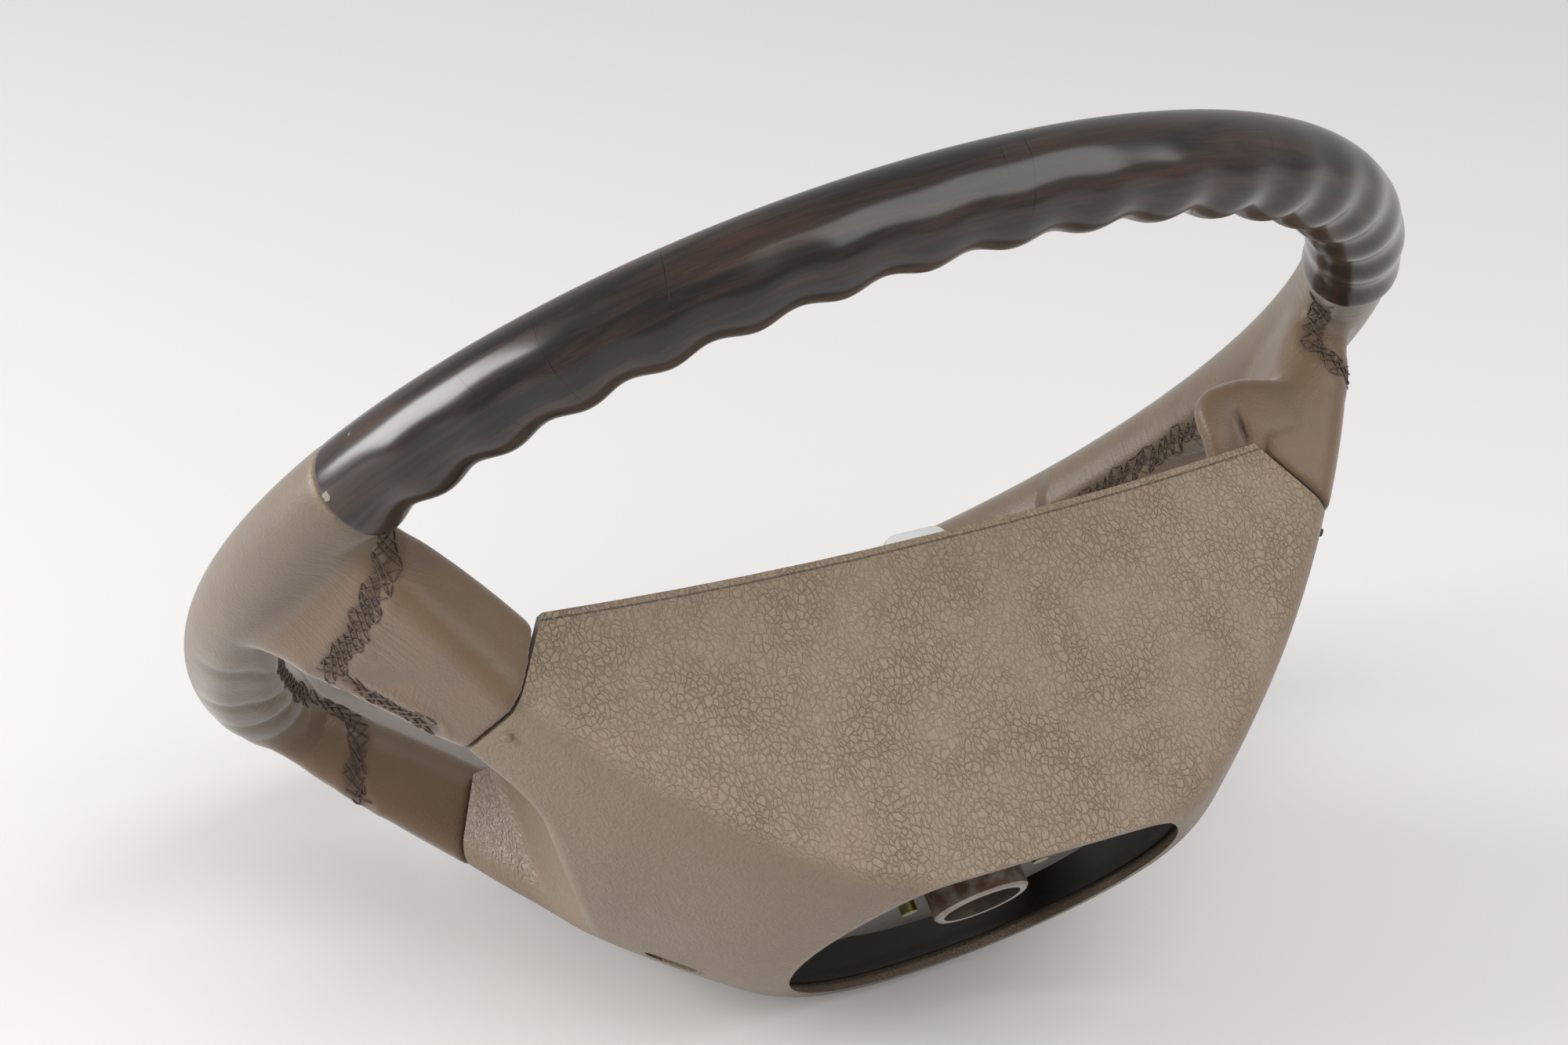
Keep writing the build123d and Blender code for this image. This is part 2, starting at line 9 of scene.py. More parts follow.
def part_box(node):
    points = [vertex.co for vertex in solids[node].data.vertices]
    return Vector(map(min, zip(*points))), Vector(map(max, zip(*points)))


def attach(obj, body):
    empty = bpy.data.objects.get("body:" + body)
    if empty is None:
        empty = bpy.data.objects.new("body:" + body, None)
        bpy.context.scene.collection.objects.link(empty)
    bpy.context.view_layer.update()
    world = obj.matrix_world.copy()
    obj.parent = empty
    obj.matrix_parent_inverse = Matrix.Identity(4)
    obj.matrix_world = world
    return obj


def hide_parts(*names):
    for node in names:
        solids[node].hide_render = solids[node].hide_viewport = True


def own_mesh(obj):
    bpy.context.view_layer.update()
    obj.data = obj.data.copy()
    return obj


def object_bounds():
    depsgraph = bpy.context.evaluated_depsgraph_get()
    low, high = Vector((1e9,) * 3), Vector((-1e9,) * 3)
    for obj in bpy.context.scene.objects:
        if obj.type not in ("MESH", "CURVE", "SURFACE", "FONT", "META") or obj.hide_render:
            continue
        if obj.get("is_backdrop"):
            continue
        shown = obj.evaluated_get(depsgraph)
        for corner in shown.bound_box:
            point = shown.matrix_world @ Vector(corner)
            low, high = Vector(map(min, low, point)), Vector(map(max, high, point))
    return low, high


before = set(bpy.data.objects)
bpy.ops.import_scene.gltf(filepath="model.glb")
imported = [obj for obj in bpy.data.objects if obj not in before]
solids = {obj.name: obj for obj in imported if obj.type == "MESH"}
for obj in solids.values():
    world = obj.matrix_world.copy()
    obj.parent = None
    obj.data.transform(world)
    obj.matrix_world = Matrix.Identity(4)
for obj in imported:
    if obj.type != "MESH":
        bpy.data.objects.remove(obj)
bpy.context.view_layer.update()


# Hub tube: a steel sleeve that slides on the column shaft and carries the whole wheel.
# Turned from bar; its outside has rusted brown and its end face is still bright from the lathe.

def linear(code):
    """sRGB hex code as linear RGBA."""
    channel = np.array([int(code[k:k + 2], 16) for k in (1, 3, 5)]) / 255
    return (*np.where(channel <= 0.04045, channel / 12.92, ((channel + 0.055) / 1.055) ** 2.4), 1.0)


def add(material, kind, inputs=None, **fields):
    """Adds one node: fields are its own settings, inputs its sockets, as a value or (node, output).

    A socket goes by name or number: Map Range has its limits at 1 to 4, and Mix its two colours at 6 and 7.
    """
    made = material.node_tree.nodes.new(kind)
    for field, value in fields.items():
        setattr(made, field, value)
    for socket, value in (inputs or {}).items():
        if isinstance(value, tuple) and isinstance(value[0], bpy.types.Node):
            material.node_tree.links.new(value[0].outputs[value[1]], made.inputs[socket])
        else:
            made.inputs[socket].default_value = value
    return made


def blank_finish(name):
    """An empty node material."""
    material = bpy.data.materials.new(name)
    material.use_nodes = True
    material.node_tree.nodes.clear()
    return material


def dress(material, *names):
    """Gives CAD nodes their finish."""
    for name in names:
        solids[name].data.materials.clear()
        solids[name].data.materials.append(material)


# Rust in blotches of 6 mm with pits of 0.6 mm; the end face keeps its lathe shine.
rusted_steel = blank_finish("turned_steel_rusted")
place = add(rusted_steel, "ShaderNodeTexCoord")
facing = add(rusted_steel, "ShaderNodeSeparateXYZ", {0: (place, "Normal")})
blotch = add(rusted_steel, "ShaderNodeTexNoise",
             {"Vector": (place, "Object"), "Scale": 1 / 0.006, "Detail": 4.0})
pits = add(rusted_steel, "ShaderNodeTexNoise",
           {"Vector": (place, "Object"), "Scale": 1 / 0.0006, "Detail": 2.0})
end_face = add(rusted_steel, "ShaderNodeMapRange", {0: (facing, "Y"), 1: 0.55, 2: 0.85})
rust_share = add(rusted_steel, "ShaderNodeMapRange", {0: (blotch, 0), 1: 0.38, 2: 0.62})
outside = add(rusted_steel, "ShaderNodeMix", {0: (rust_share, 0), 6: linear("#8b8178"), 7: linear("#5e463a")},
              data_type="RGBA")
# Painted shade: the bore is painted dark, fading out at its edge.
bore_reach, bore_fade = 0.0126, 0.0004
axes = add(rusted_steel, "ShaderNodeSeparateXYZ", {0: (place, "Object")})
flat_place = add(rusted_steel, "ShaderNodeCombineXYZ", {0: (axes, "X"), 1: (axes, "Z")})
from_axis = add(rusted_steel, "ShaderNodeVectorMath", {0: (flat_place, 0)}, operation="LENGTH")
in_bore = add(rusted_steel, "ShaderNodeMapRange", {0: (from_axis, "Value"), 1: bore_reach,
                                                   2: bore_reach - bore_fade, 4: 0.8})
bore_painted_shade = add(rusted_steel, "ShaderNodeMix", {0: (in_bore, 0), 6: (outside, 2), 7: linear("#4d443d")},
              data_type="RGBA")
colour = add(rusted_steel, "ShaderNodeMix", {0: (end_face, 0), 6: (bore_painted_shade, 2), 7: linear("#a89f95")},
             data_type="RGBA")
rough = add(rusted_steel, "ShaderNodeMapRange", {0: (end_face, 0), 3: 0.62, 4: 0.34})
relief = add(rusted_steel, "ShaderNodeBump", {"Height": (pits, 0), "Strength": 0.35, "Distance": 0.0003})
shader = add(rusted_steel, "ShaderNodeBsdfPrincipled", {
    "Base Color": (colour, 2), "Metallic": 0.85, "Roughness": (rough, 0), "Normal": (relief, 0)})
add(rusted_steel, "ShaderNodeOutputMaterial", {"Surface": (shader, 0)})
dress(rusted_steel, "hub_boss")


# Spider: a pressed steel disc with four channel arms, welded to the hub tube and to the rim's core.
# It has a thin grey phosphate coat, cloudy at 12 mm, with small brown stains of rust.

phosphate = blank_finish("phosphated_steel")
place = add(phosphate, "ShaderNodeTexCoord")
cloud = add(phosphate, "ShaderNodeTexNoise", {"Vector": (place, "Object"), "Scale": 1 / 0.012, "Detail": 5.0})
stain = add(phosphate, "ShaderNodeTexNoise", {"Vector": (place, "Object"), "Scale": 1 / 0.005, "Detail": 8.0})
stain_share = add(phosphate, "ShaderNodeMapRange", {0: (stain, 0), 1: 0.56, 2: 0.72, 4: 0.7})
grey = add(phosphate, "ShaderNodeMix", {0: (cloud, 0), 6: linear("#575652"), 7: linear("#7b7872")},
           data_type="RGBA")
colour = add(phosphate, "ShaderNodeMix", {0: (stain_share, 0), 6: (grey, 2), 7: linear("#6a4a38")},
             data_type="RGBA")
relief = add(phosphate, "ShaderNodeBump", {"Height": (stain, 0), "Strength": 0.2, "Distance": 0.0003})
shader = add(phosphate, "ShaderNodeBsdfPrincipled", {
    "Base Color": (colour, 2), "Metallic": 0.7, "Roughness": 0.5, "Normal": (relief, 0)})
add(phosphate, "ShaderNodeOutputMaterial", {"Surface": (shader, 0)})
dress(phosphate, "spider", "rim_core")


# Wood rim: the upper arc, turned from dark hardwood segments glued end to end round the steel core.
# Finger grooves are cut in its inner rear side; the gloss lacquer has cracked at the joints and chipped.

# The arc's two ends are in degrees of the clock, and the finger side is an angle round the rim's section.
rim_radius, rim_depth = 0.180, -0.145
wood_first, wood_last = -65.5, 69.0
wood_section_radius, wood_set_off = 0.0149, 0.0013
core_bore_radius = 0.0051
finger_side = math.radians(118.0)
groove_count, groove_depth, groove_power = 17, 0.0022, 1.8
edge_round = 0.0007
section_steps, arc_steps, bore_steps, edge_steps = 96, 400, 80, 4


def closed_grid(rows, columns):
    """Faces of a grid that closes on itself both ways, wound so that they point outwards."""
    index = np.arange(rows * columns).reshape(rows, columns)
    after = np.roll(index, -1, axis=0)
    return np.stack([index, after, np.roll(after, -1, axis=1), np.roll(index, -1, axis=1)], -1).reshape(-1, 4)


def grooved_arc(clock, depth, section):
    """Points of the wood for clock angles (rows) and section angles (columns).

    The section is a circle set off towards the finger side. Each groove is a raised cosine along the arc, as
    deep as a power of a raised cosine of the angle from the finger side; depth is the extra drop at the
    rounded ends.
    """
    share = (np.degrees(clock) - wood_first) / (wood_last - wood_first) * groove_count
    wave = 0.5 - 0.5 * np.cos(2 * math.pi * share)
    facing = (0.5 + 0.5 * np.cos(section - finger_side)) ** groove_power
    radius = wood_section_radius - depth - groove_depth * wave * facing
    far = rim_radius + radius * np.cos(section) + wood_set_off * math.cos(finger_side)
    back = rim_depth + radius * np.sin(section) + wood_set_off * math.sin(finger_side)
    return np.stack([far * np.sin(clock), back, far * np.cos(clock)], -1)


def bore_wall(clock, section):
    """Points of the hole for the core: a circle of its radius carried back along the arc."""
    far = rim_radius + core_bore_radius * np.cos(section)
    back = rim_depth + core_bore_radius * np.sin(section) + 0 * clock
    return np.stack([far * np.sin(clock), back, far * np.cos(clock)], -1)


def new_piece(name, points, faces):
    """A smooth-shaded mesh object at the origin, from its points and faces."""
    mesh = bpy.data.meshes.new(name)
    mesh.from_pydata(points, [], faces)
    mesh.polygons.foreach_set("use_smooth", np.ones(len(faces), bool))
    made = bpy.data.objects.new(name, mesh)
    bpy.context.scene.collection.objects.link(made)
    return made


section = np.linspace(0, 2 * math.pi, section_steps, endpoint=False)[None]
outer_run = np.radians(np.linspace(wood_first, wood_last, arc_steps))
rounding = np.linspace(0, math.pi / 2, edge_steps, endpoint=False)
first, last = outer_run[0], outer_run[-1]
outer_run = np.clip(outer_run, first + edge_round / rim_radius, last - edge_round / rim_radius)[1:-1]
lead = edge_round * (1 - np.cos(rounding)) / rim_radius
drop = edge_round * (1 - np.sin(rounding))
clock_rows = np.concatenate([first + lead, outer_run, (last - lead)[::-1]])[:, None]
drop_rows = np.concatenate([drop, 0 * outer_run, drop[::-1]])[:, None]
inner_rows = np.linspace(last, first, bore_steps)[:, None]
wood_points = np.concatenate([grooved_arc(clock_rows, drop_rows, section), bore_wall(inner_rows, section)])
wood_arc = new_piece("wood_arc", wood_points.reshape(-1, 3), closed_grid(*wood_points.shape[:2]))

# Streaks follow the arc, 60 mm long and 6 mm wide, with pores of 12 by 0.7 mm; a clear coat reflects.
lacquered_wood = blank_finish("lacquered_hardwood")
place = add(lacquered_wood, "ShaderNodeTexCoord")
axes = add(lacquered_wood, "ShaderNodeSeparateXYZ", {0: (place, "Object")})
clock = add(lacquered_wood, "ShaderNodeMath", {0: (axes, "X"), 1: (axes, "Z")}, operation="ARCTAN2")
square_x = add(lacquered_wood, "ShaderNodeMath", {0: (axes, "X"), 1: 2.0}, operation="POWER")
square = add(lacquered_wood, "ShaderNodeMath", {0: (axes, "Z"), 1: (axes, "Z"), 2: (square_x, 0)},
             operation="MULTIPLY_ADD")
reach = add(lacquered_wood, "ShaderNodeMath", {0: (square, 0)}, operation="SQRT")
outwards = add(lacquered_wood, "ShaderNodeMath", {0: (reach, 0), 1: rim_radius}, operation="SUBTRACT")
backwards = add(lacquered_wood, "ShaderNodeMath", {0: (axes, "Y"), 1: rim_depth}, operation="SUBTRACT")
turn = add(lacquered_wood, "ShaderNodeMath", {0: (backwards, 0), 1: (outwards, 0)}, operation="ARCTAN2")
along = add(lacquered_wood, "ShaderNodeMath", {0: (clock, 0), 1: rim_radius}, operation="MULTIPLY")
unrolled = add(lacquered_wood, "ShaderNodeCombineXYZ", {0: (along, 0), 1: (outwards, 0), 2: (backwards, 0)})
grain_place = add(lacquered_wood, "ShaderNodeVectorMath",
                  {0: (unrolled, 0), 1: (1 / 0.06, 1 / 0.006, 1 / 0.006)}, operation="MULTIPLY")
streak = add(lacquered_wood, "ShaderNodeTexNoise", {"Vector": (grain_place, 0), "Scale": 1.0, "Detail": 7.0,
                                                    "Roughness": 0.6, "Distortion": 0.6})
pore_place = add(lacquered_wood, "ShaderNodeVectorMath",
                 {0: (unrolled, 0), 1: (1 / 0.012, 1 / 0.0007, 1 / 0.0007)}, operation="MULTIPLY")
pores = add(lacquered_wood, "ShaderNodeTexNoise", {"Vector": (pore_place, 0), "Scale": 1.0, "Detail": 3.0})
red_share = add(lacquered_wood, "ShaderNodeMapRange", {0: (streak, 0), 1: 0.42, 2: 0.68})
brown = add(lacquered_wood, "ShaderNodeMix", {0: (red_share, 0), 6: linear("#130e0c"), 7: linear("#3d2a21")},
            data_type="RGBA")
pore_share = add(lacquered_wood, "ShaderNodeMapRange", {0: (pores, 0), 1: 0.55, 2: 0.75, 4: 0.6})
colour = add(lacquered_wood, "ShaderNodeMix", {0: (pore_share, 0), 6: (brown, 2), 7: linear("#191312")},
             data_type="RGBA")
# Joint cracks: clock angle on the outer side, lean per radian round the section, and their two ends there.
crack_half, crack_wander = 0.0009, 0.012
wobble = add(lacquered_wood, "ShaderNodeTexNoise", {"Vector": (place, "Object"), "Scale": 1 / 0.008})
wander = add(lacquered_wood, "ShaderNodeMath", {0: (wobble, 0), 1: crack_wander, 2: -crack_wander / 2},
             operation="MULTIPLY_ADD")
cracks = 0.0
for angle, lean, starts, ends in ((52.2, -1.4, -70, 75), (45.4, -0.4, -80, 95), (34.6, 0.6, -70, 30),
                                  (6.5, 0.8, -85, 12), (4.3, 1.0, -80, 60), (-21.0, 0.5, -60, 50)):
    line = add(lacquered_wood, "ShaderNodeMath",
               {0: (turn, 0), 1: math.radians(lean), 2: math.radians(angle)}, operation="MULTIPLY_ADD")
    bent = add(lacquered_wood, "ShaderNodeMath", {0: (line, 0), 1: (wander, 0)}, operation="ADD")
    on_line = add(lacquered_wood, "ShaderNodeMath", {0: (clock, 0), 1: (bent, 0), 2: crack_half},
                  operation="COMPARE")
    middle = math.radians((starts + ends) / 2)
    half = math.radians((ends - starts) / 2)
    shown = add(lacquered_wood, "ShaderNodeMath", {0: (turn, 0), 1: middle, 2: half}, operation="COMPARE")
    both = add(lacquered_wood, "ShaderNodeMath", {0: (on_line, 0), 1: (shown, 0)}, operation="MULTIPLY")
    cracks = (add(lacquered_wood, "ShaderNodeMath", {0: cracks, 1: (both, 0)}, operation="MAXIMUM"), 0)
cracked = add(lacquered_wood, "ShaderNodeMix", {0: cracks, 6: (colour, 2), 7: linear("#0b0706")},
              data_type="RGBA")
# Chips: small pale spots with ragged edges where the lacquer has come off, near the right end.
chip_rag, rag_middle = 0.003, 0.0014
chips = 0.0
for x, y, z, size in ((0.1804, -0.1409, 0.0712, 0.0013), (0.1776, -0.1403, 0.0741, 0.0004),
                      (0.1729, -0.1523, 0.0827, 0.0006)):
    apart = add(lacquered_wood, "ShaderNodeVectorMath", {0: (place, "Object"), 1: (x, y, z)},
                operation="DISTANCE")
    ragged = add(lacquered_wood, "ShaderNodeMath", {0: (pores, 0), 1: chip_rag, 2: (apart, "Value")},
                 operation="MULTIPLY_ADD")
    spot = add(lacquered_wood, "ShaderNodeMath", {0: (ragged, 0), 1: size + rag_middle},
               operation="LESS_THAN")
    chips = (add(lacquered_wood, "ShaderNodeMath", {0: chips, 1: (spot, 0)}, operation="MAXIMUM"), 0)
chipped = add(lacquered_wood, "ShaderNodeMix", {0: chips, 6: (cracked, 2), 7: linear("#81786b")},
              data_type="RGBA")
dent = add(lacquered_wood, "ShaderNodeMath", {0: cracks, 1: chips}, operation="ADD")
level = add(lacquered_wood, "ShaderNodeMath", {0: 1.0, 1: (dent, 0)}, operation="SUBTRACT")
relief = add(lacquered_wood, "ShaderNodeBump", {"Height": (level, 0), "Strength": 0.5, "Distance": 0.0003})
haze = add(lacquered_wood, "ShaderNodeMapRange", {0: (streak, 0), 3: 0.26, 4: 0.4})
shader = add(lacquered_wood, "ShaderNodeBsdfPrincipled", {
    "Base Color": (chipped, 2), "Roughness": (haze, 0), "Specular IOR Level": 0.12, "Coat Weight": 0.8,
    "Coat Roughness": 0.2, "Coat IOR": 1.55, "Normal": (relief, 0), "Coat Normal": (relief, 0)})
add(lacquered_wood, "ShaderNodeOutputMaterial", {"Surface": (shader, 0)})
wood_arc.data.materials.append(lacquered_wood)
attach(wood_arc, "wheel")
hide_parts("wood_rim")


# Leather: one stretched skin over moulded foam, round the lower rim and the four spoke pads, glued and sewn.
# Smooth hide of 1.2 mm; it bridges the hollows where a pad meets the rim, and wrinkles at the tight bends.
# It stands for the foam nodes too, which it hides on every side.

spokes = ("upper_right_spoke", "upper_left_spoke", "lower_right_spoke", "lower_left_spoke")
leather_nodes = ["rim_leather"] + [name + "_leather" for name in spokes]
foam_nodes = ["rim_foam"] + [name + "_foam" for name in spokes]


def joined(names):
    """Points and triangles of several CAD nodes as one mesh, doubles merged to a micron."""
    points, triangles, count = [], [], 0
    for name in names:
        mesh = solids[name].data
        mesh.calc_loop_triangles()
        co = np.empty(len(mesh.vertices) * 3)
        corner = np.empty(len(mesh.loop_triangles) * 3, np.int32)
        mesh.vertices.foreach_get("co", co)
        mesh.loop_triangles.foreach_get("vertices", corner)
        points.append(co.reshape(-1, 3))
        triangles.append(corner.reshape(-1, 3) + count)
        count += len(mesh.vertices)
    merged, place_of = np.unique(np.round(np.concatenate(points), 6), axis=0, return_inverse=True)
    return merged, place_of.ravel()[np.concatenate(triangles)]


def eased(points, edges, weight, rounds):
    """Each point moves towards the mean of its neighbours by its own weight, round after round."""
    first, second = edges.T
    total = len(points)
    count = np.bincount(edges.ravel(), minlength=total)[:, None]
    for _ in range(rounds):
        near = [np.bincount(first, points[second, k], total) + np.bincount(second, points[first, k], total)
                for k in range(points.shape[1])]
        points = points + weight * (np.stack(near, 1) / count - points)
    return points


def outward_normals(points, quads):
    """Normal of each point: the sum of its faces' diagonal cross products, made unit length."""
    diagonal = np.cross(points[quads[:, 2]] - points[quads[:, 0]], points[quads[:, 3]] - points[quads[:, 1]])
    total = [sum(np.bincount(quads[:, c], diagonal[:, k], len(points)) for c in range(4)) for k in range(3)]
    normal = np.stack(total, 1)
    return normal / np.maximum(np.linalg.norm(normal, axis=1, keepdims=True), 1e-12)


def smooth_line(points, spacing):
    """Even points on a curve through the given ones: Catmull-Rom pieces, then equal steps of arc length."""
    piece_steps = 24
    points = np.asarray(points, float)
    padded = np.concatenate([2 * points[:1] - points[1:2], points, 2 * points[-1:] - points[-2:-1]])
    share = np.linspace(0, 1, piece_steps, endpoint=False)[None, :, None]
    a, b, c, d = (padded[k:len(padded) - 3 + k, None] for k in range(4))
    curve = 0.5 * (2 * b + (c - a) * share + (2 * a - 5 * b + 4 * c - d) * share ** 2
                   + (3 * b - a - 3 * c + d) * share ** 3)
    curve = np.concatenate([curve.reshape(-1, 3), points[-1:]])
    run = np.concatenate([[0], np.cumsum(np.linalg.norm(np.diff(curve, axis=0), axis=1))])
    step = np.linspace(0, run[-1], max(2, round(run[-1] / spacing) + 1))
    return np.stack([np.interp(step, run, curve[:, k]) for k in range(3)], 1)


def rim_point(clock_degrees, section_degrees, radius):
    """Point on the rim at a clock angle and an angle round its section: 0 is outwards and 90 rearwards."""
    clock_turn, section_turn = np.radians(clock_degrees), np.radians(section_degrees)
    far = rim_radius + radius * np.cos(section_turn)
    return np.stack([far * np.sin(clock_turn), rim_depth + radius * np.sin(section_turn) + 0 * clock_turn,
                     far * np.cos(clock_turn)], -1)


# Sewn joins of the right half, in millimetres: over each pad's root, along the upper pad, and inside the rim.
pad_join_upper = [(155, -138, 65), (158.5, -133, 55), (160, -129.6, 53.2), (162.3, -126.2, 53.3),
                  (164.7, -122.1, 51.5), (166.4, -118.9, 46.4), (167.2, -117.2, 38.7), (168.2, -116.2, 31.7),
                  (169, -114.6, 24.6), (170.1, -113.5, 16.7), (171, -112.5, 10.4), (172.6, -113.4, 5.6)]
pad_join_edge = [(169, -110, 12.6), (165.2, -104, 13.4), (160.6, -98, 15.6), (156.2, -92.2, 17.6),
                 (151.6, -86.4, 19.8)]
pad_join_lower = [(135, -140.4, -98), (129.9, -136.5, -98.2), (125.8, -130.8, -96.5), (125.2, -124.9, -95.3),
                  (127.2, -120, -96.4), (129.3, -116.1, -98.6), (130.2, -111.8, -100.4),
                  (130.2, -108.3, -102.9), (127.7, -104.6, -105.4)]
# The upper left pad's root is sewn a little further in, because its tongue takes up hide.
pad_join_tongue = [(-156, -138, 63), (-159.7, -137, 54.6), (-156.2, -133.1, 52.1), (-154.4, -130.4, 52.3),
                   (-154.9, -127.6, 52.7), (-158.4, -121.5, 53.5), (-161, -117.5, 51), (-165, -116.5, 41),
                   (-168.2, -116.2, 31.7), (-169, -114.6, 24.6), (-170.1, -113.5, 16.7), (-171, -112.5, 10.4)]
inner_turn, grip_radius = 157.0, 0.014
inner_join = rim_point(np.linspace(101, 126, 8), inner_turn, grip_radius) * 1000
bottom_join = rim_point(np.linspace(153, 207, 12), inner_turn, grip_radius) * 1000
mirror = np.array([-1, 1, 1])
both_sides = [(np.array(line), width) for line, width in
              ((pad_join_edge, 5.4), (pad_join_lower, 6.6), (inner_join, 6.4))]
joins = both_sides + [(line * mirror, width) for line, width in both_sides]
joins += [(np.array(pad_join_upper), 7.2), (np.array(pad_join_tongue), 7.2), (bottom_join, 6.4)]
joins = [(line / 1000, width / 1000) for line, width in joins]

# Nodes of leather and foam together, remeshed to one closed skin of even squares.
blank = new_piece("leather_blank", *joined(leather_nodes + foam_nodes))
even_grid = blank.modifiers.new("even_grid", "REMESH")
even_grid.mode = "VOXEL"
even_grid.voxel_size = 0.00125
bpy.context.view_layer.update()
gridded = bpy.data.meshes.new_from_object(blank.evaluated_get(bpy.context.evaluated_depsgraph_get()))
points = np.empty(len(gridded.vertices) * 3)
quads = np.empty(len(gridded.loops), np.int32)
gridded.vertices.foreach_get("co", points)
gridded.loops.foreach_get("vertex_index", quads)
points, quads = points.reshape(-1, 3), quads.reshape(-1, 4)
bpy.data.objects.remove(blank)
bpy.data.meshes.remove(gridded)


def rim_place(points):
    """Clock angle, angle round the section and distance from the rim's own circle, for each point."""
    far = np.hypot(points[:, 0], points[:, 2]) - rim_radius
    back = points[:, 1] - rim_depth
    clock_turn, section_turn = np.arctan2(points[:, 0], points[:, 2]), np.arctan2(back, far)
    return np.degrees(clock_turn), np.degrees(section_turn), np.hypot(far, back)


# The remesh also lines the hole for the steel core, which no one sees: it is left off.
lining_reach = 0.0095
core_side = rim_place(points)[2] < lining_reach
quads = quads[~core_side[quads].any(axis=1)]
kept, renamed = np.unique(quads, return_inverse=True)
points, quads = points[kept], renamed.reshape(-1, 4)
sides = np.sort(np.concatenate([quads[:, [k, (k + 1) % 4]] for k in range(4)]), axis=1)
edges = np.unique(sides, axis=0)

# Glue pulls the hide round the hollow between pad and rim, so that the two flow together there.
hollow_from, hollow_to = 0.0148, 0.024
points = eased(points, edges, weight=0.5, rounds=4)
section_radius = rim_place(points)[2]
hollow = ((section_radius > hollow_from) & (section_radius < hollow_to)).astype(float)[:, None]
hollow = np.clip(eased(hollow, edges, weight=0.9, rounds=14) * 1.3, 0, 1)
points = eased(points, edges, weight=0.6 * hollow, rounds=26)

# The tongue's outer corner melts into the pad, and its rim is soft.
tongue_corner, tongue_middle = np.array([-0.144, -0.1215, 0.0485]), np.array([-0.120, -0.113, 0.047])
melt_reach, soft_reach = 0.013, 0.020
melt = np.exp(-(np.linalg.norm(points - tongue_corner, axis=1) / melt_reach) ** 4)
soften = np.exp(-(np.linalg.norm(points - tongue_middle, axis=1) / soft_reach) ** 4)
points = eased(points, edges, weight=(0.7 * melt)[:, None], rounds=90)
points = eased(points, edges, weight=(0.5 * soften)[:, None], rounds=8)
# Its lower end is tucked in behind the cover's front edge. Limits: axis, where the tuck begins and is full.
tuck_move = np.array([0, 0.0075, -0.0035])
tuck = np.ones(len(points))
for axis, begins, full in ((0, -0.1275, -0.1235), (0, -0.100, -0.102),
                           (1, -0.1105, -0.1045), (2, 0.030, 0.036)):
    tuck *= np.clip((points[:, axis] - begins) / (full - begins), 0, 1)
points = points + (tuck ** 2 * (3 - 2 * tuck))[:, None] * tuck_move
normal = outward_normals(points, quads)

# A slit of 9 mm through the tongue's face: the hide is drawn down along it.
slit_ends = np.array([(-0.1200, -0.1135, 0.0490), (-0.1209, -0.1045, 0.0470)])
slit_width, slit_depth = 0.0010, 0.003
slit_run = slit_ends[1] - slit_ends[0]
share = np.clip((points - slit_ends[0]) @ slit_run / (slit_run @ slit_run), 0, 1)
from_slit = np.linalg.norm(points - slit_ends[0] - share[:, None] * slit_run, axis=1)
slit = np.exp(-(from_slit / slit_width) ** 2)
points = points - normal * (slit_depth * slit)[:, None]

# Where it is sewn, the hide dips to the join and puckers beside it; distances count in widths of the join.
dip, dip_width = 0.0006, 0.22
pucker, pucker_at, pucker_width = 0.0003, 0.75, 0.3
path_step, path_reach, near_widths, far_widths = 0.0015, 0.09, 6.0, 9.0
normal = outward_normals(points, quads)
from_join = np.full(len(points), far_widths)
join_run = np.zeros(len(points))
for number, (line, width) in enumerate(joins):
    path = smooth_line(line, path_step)
    close = np.nonzero(np.abs(points - path.mean(0)).max(1) < path_reach)[0]
    apart = np.linalg.norm(points[close][:, None] - path[None], axis=2)
    gap = apart.min(1) / width
    nearer = gap < from_join[close]
    from_join[close[nearer]] = gap[nearer]
    join_run[close[nearer]] = apart.argmin(1)[nearer] * path_step + number
join_run = eased(join_run[:, None], edges, weight=0.5 * (from_join < near_widths)[:, None], rounds=2)[:, 0]
lift = pucker * np.exp(-((from_join - pucker_at) / pucker_width) ** 2)
lift -= dip * np.exp(-(from_join / dip_width) ** 2)
points += normal * lift[:, None]

# Folds: above each lower pad the hide is pushed up into soft rolls, with a sharper valley between each two.
# Each valley: clock angle at the rim's back, lean per degree towards the inside, and depth in millimetres.
# The crest and half are degrees round the section; the rolls' place and the widths are degrees of the clock.
rim_edge, rim_fade = 0.0185, 0.002
fold_crest, fold_half, fold_fade = 92, 78, 1.15
roll, roll_at, roll_width, valley_width = 0.4, 2.8, 1.9, 0.95
clock_angle, section_angle, section_radius = rim_place(points)
on_rim = np.clip((rim_edge - section_radius) / rim_fade, 0, 1)
past_crest = section_angle - fold_crest
behind = np.clip(np.cos(np.radians(past_crest * fold_fade)), 0, 1) * (np.abs(past_crest) < fold_half)
inwards = np.clip(past_crest, 0, None)
fold = np.zeros(len(points))
for middle, lean, deep in ((100.4, 0.16, 0.6), (110.6, 0.10, 0.9), (118.2, 0.03, 0.9), (124.1, 0.0, 0.7)):
    beside = np.abs(np.abs(clock_angle) - middle - lean * inwards)
    rolled = roll * np.exp(-((beside - roll_at) / roll_width) ** 2)
    fold += deep * (rolled - np.exp(-(beside / valley_width) ** 2))
points += normal * (0.001 * fold * behind * on_rim)[:, None]
leather_skin = new_piece("leather_skin", points, quads)
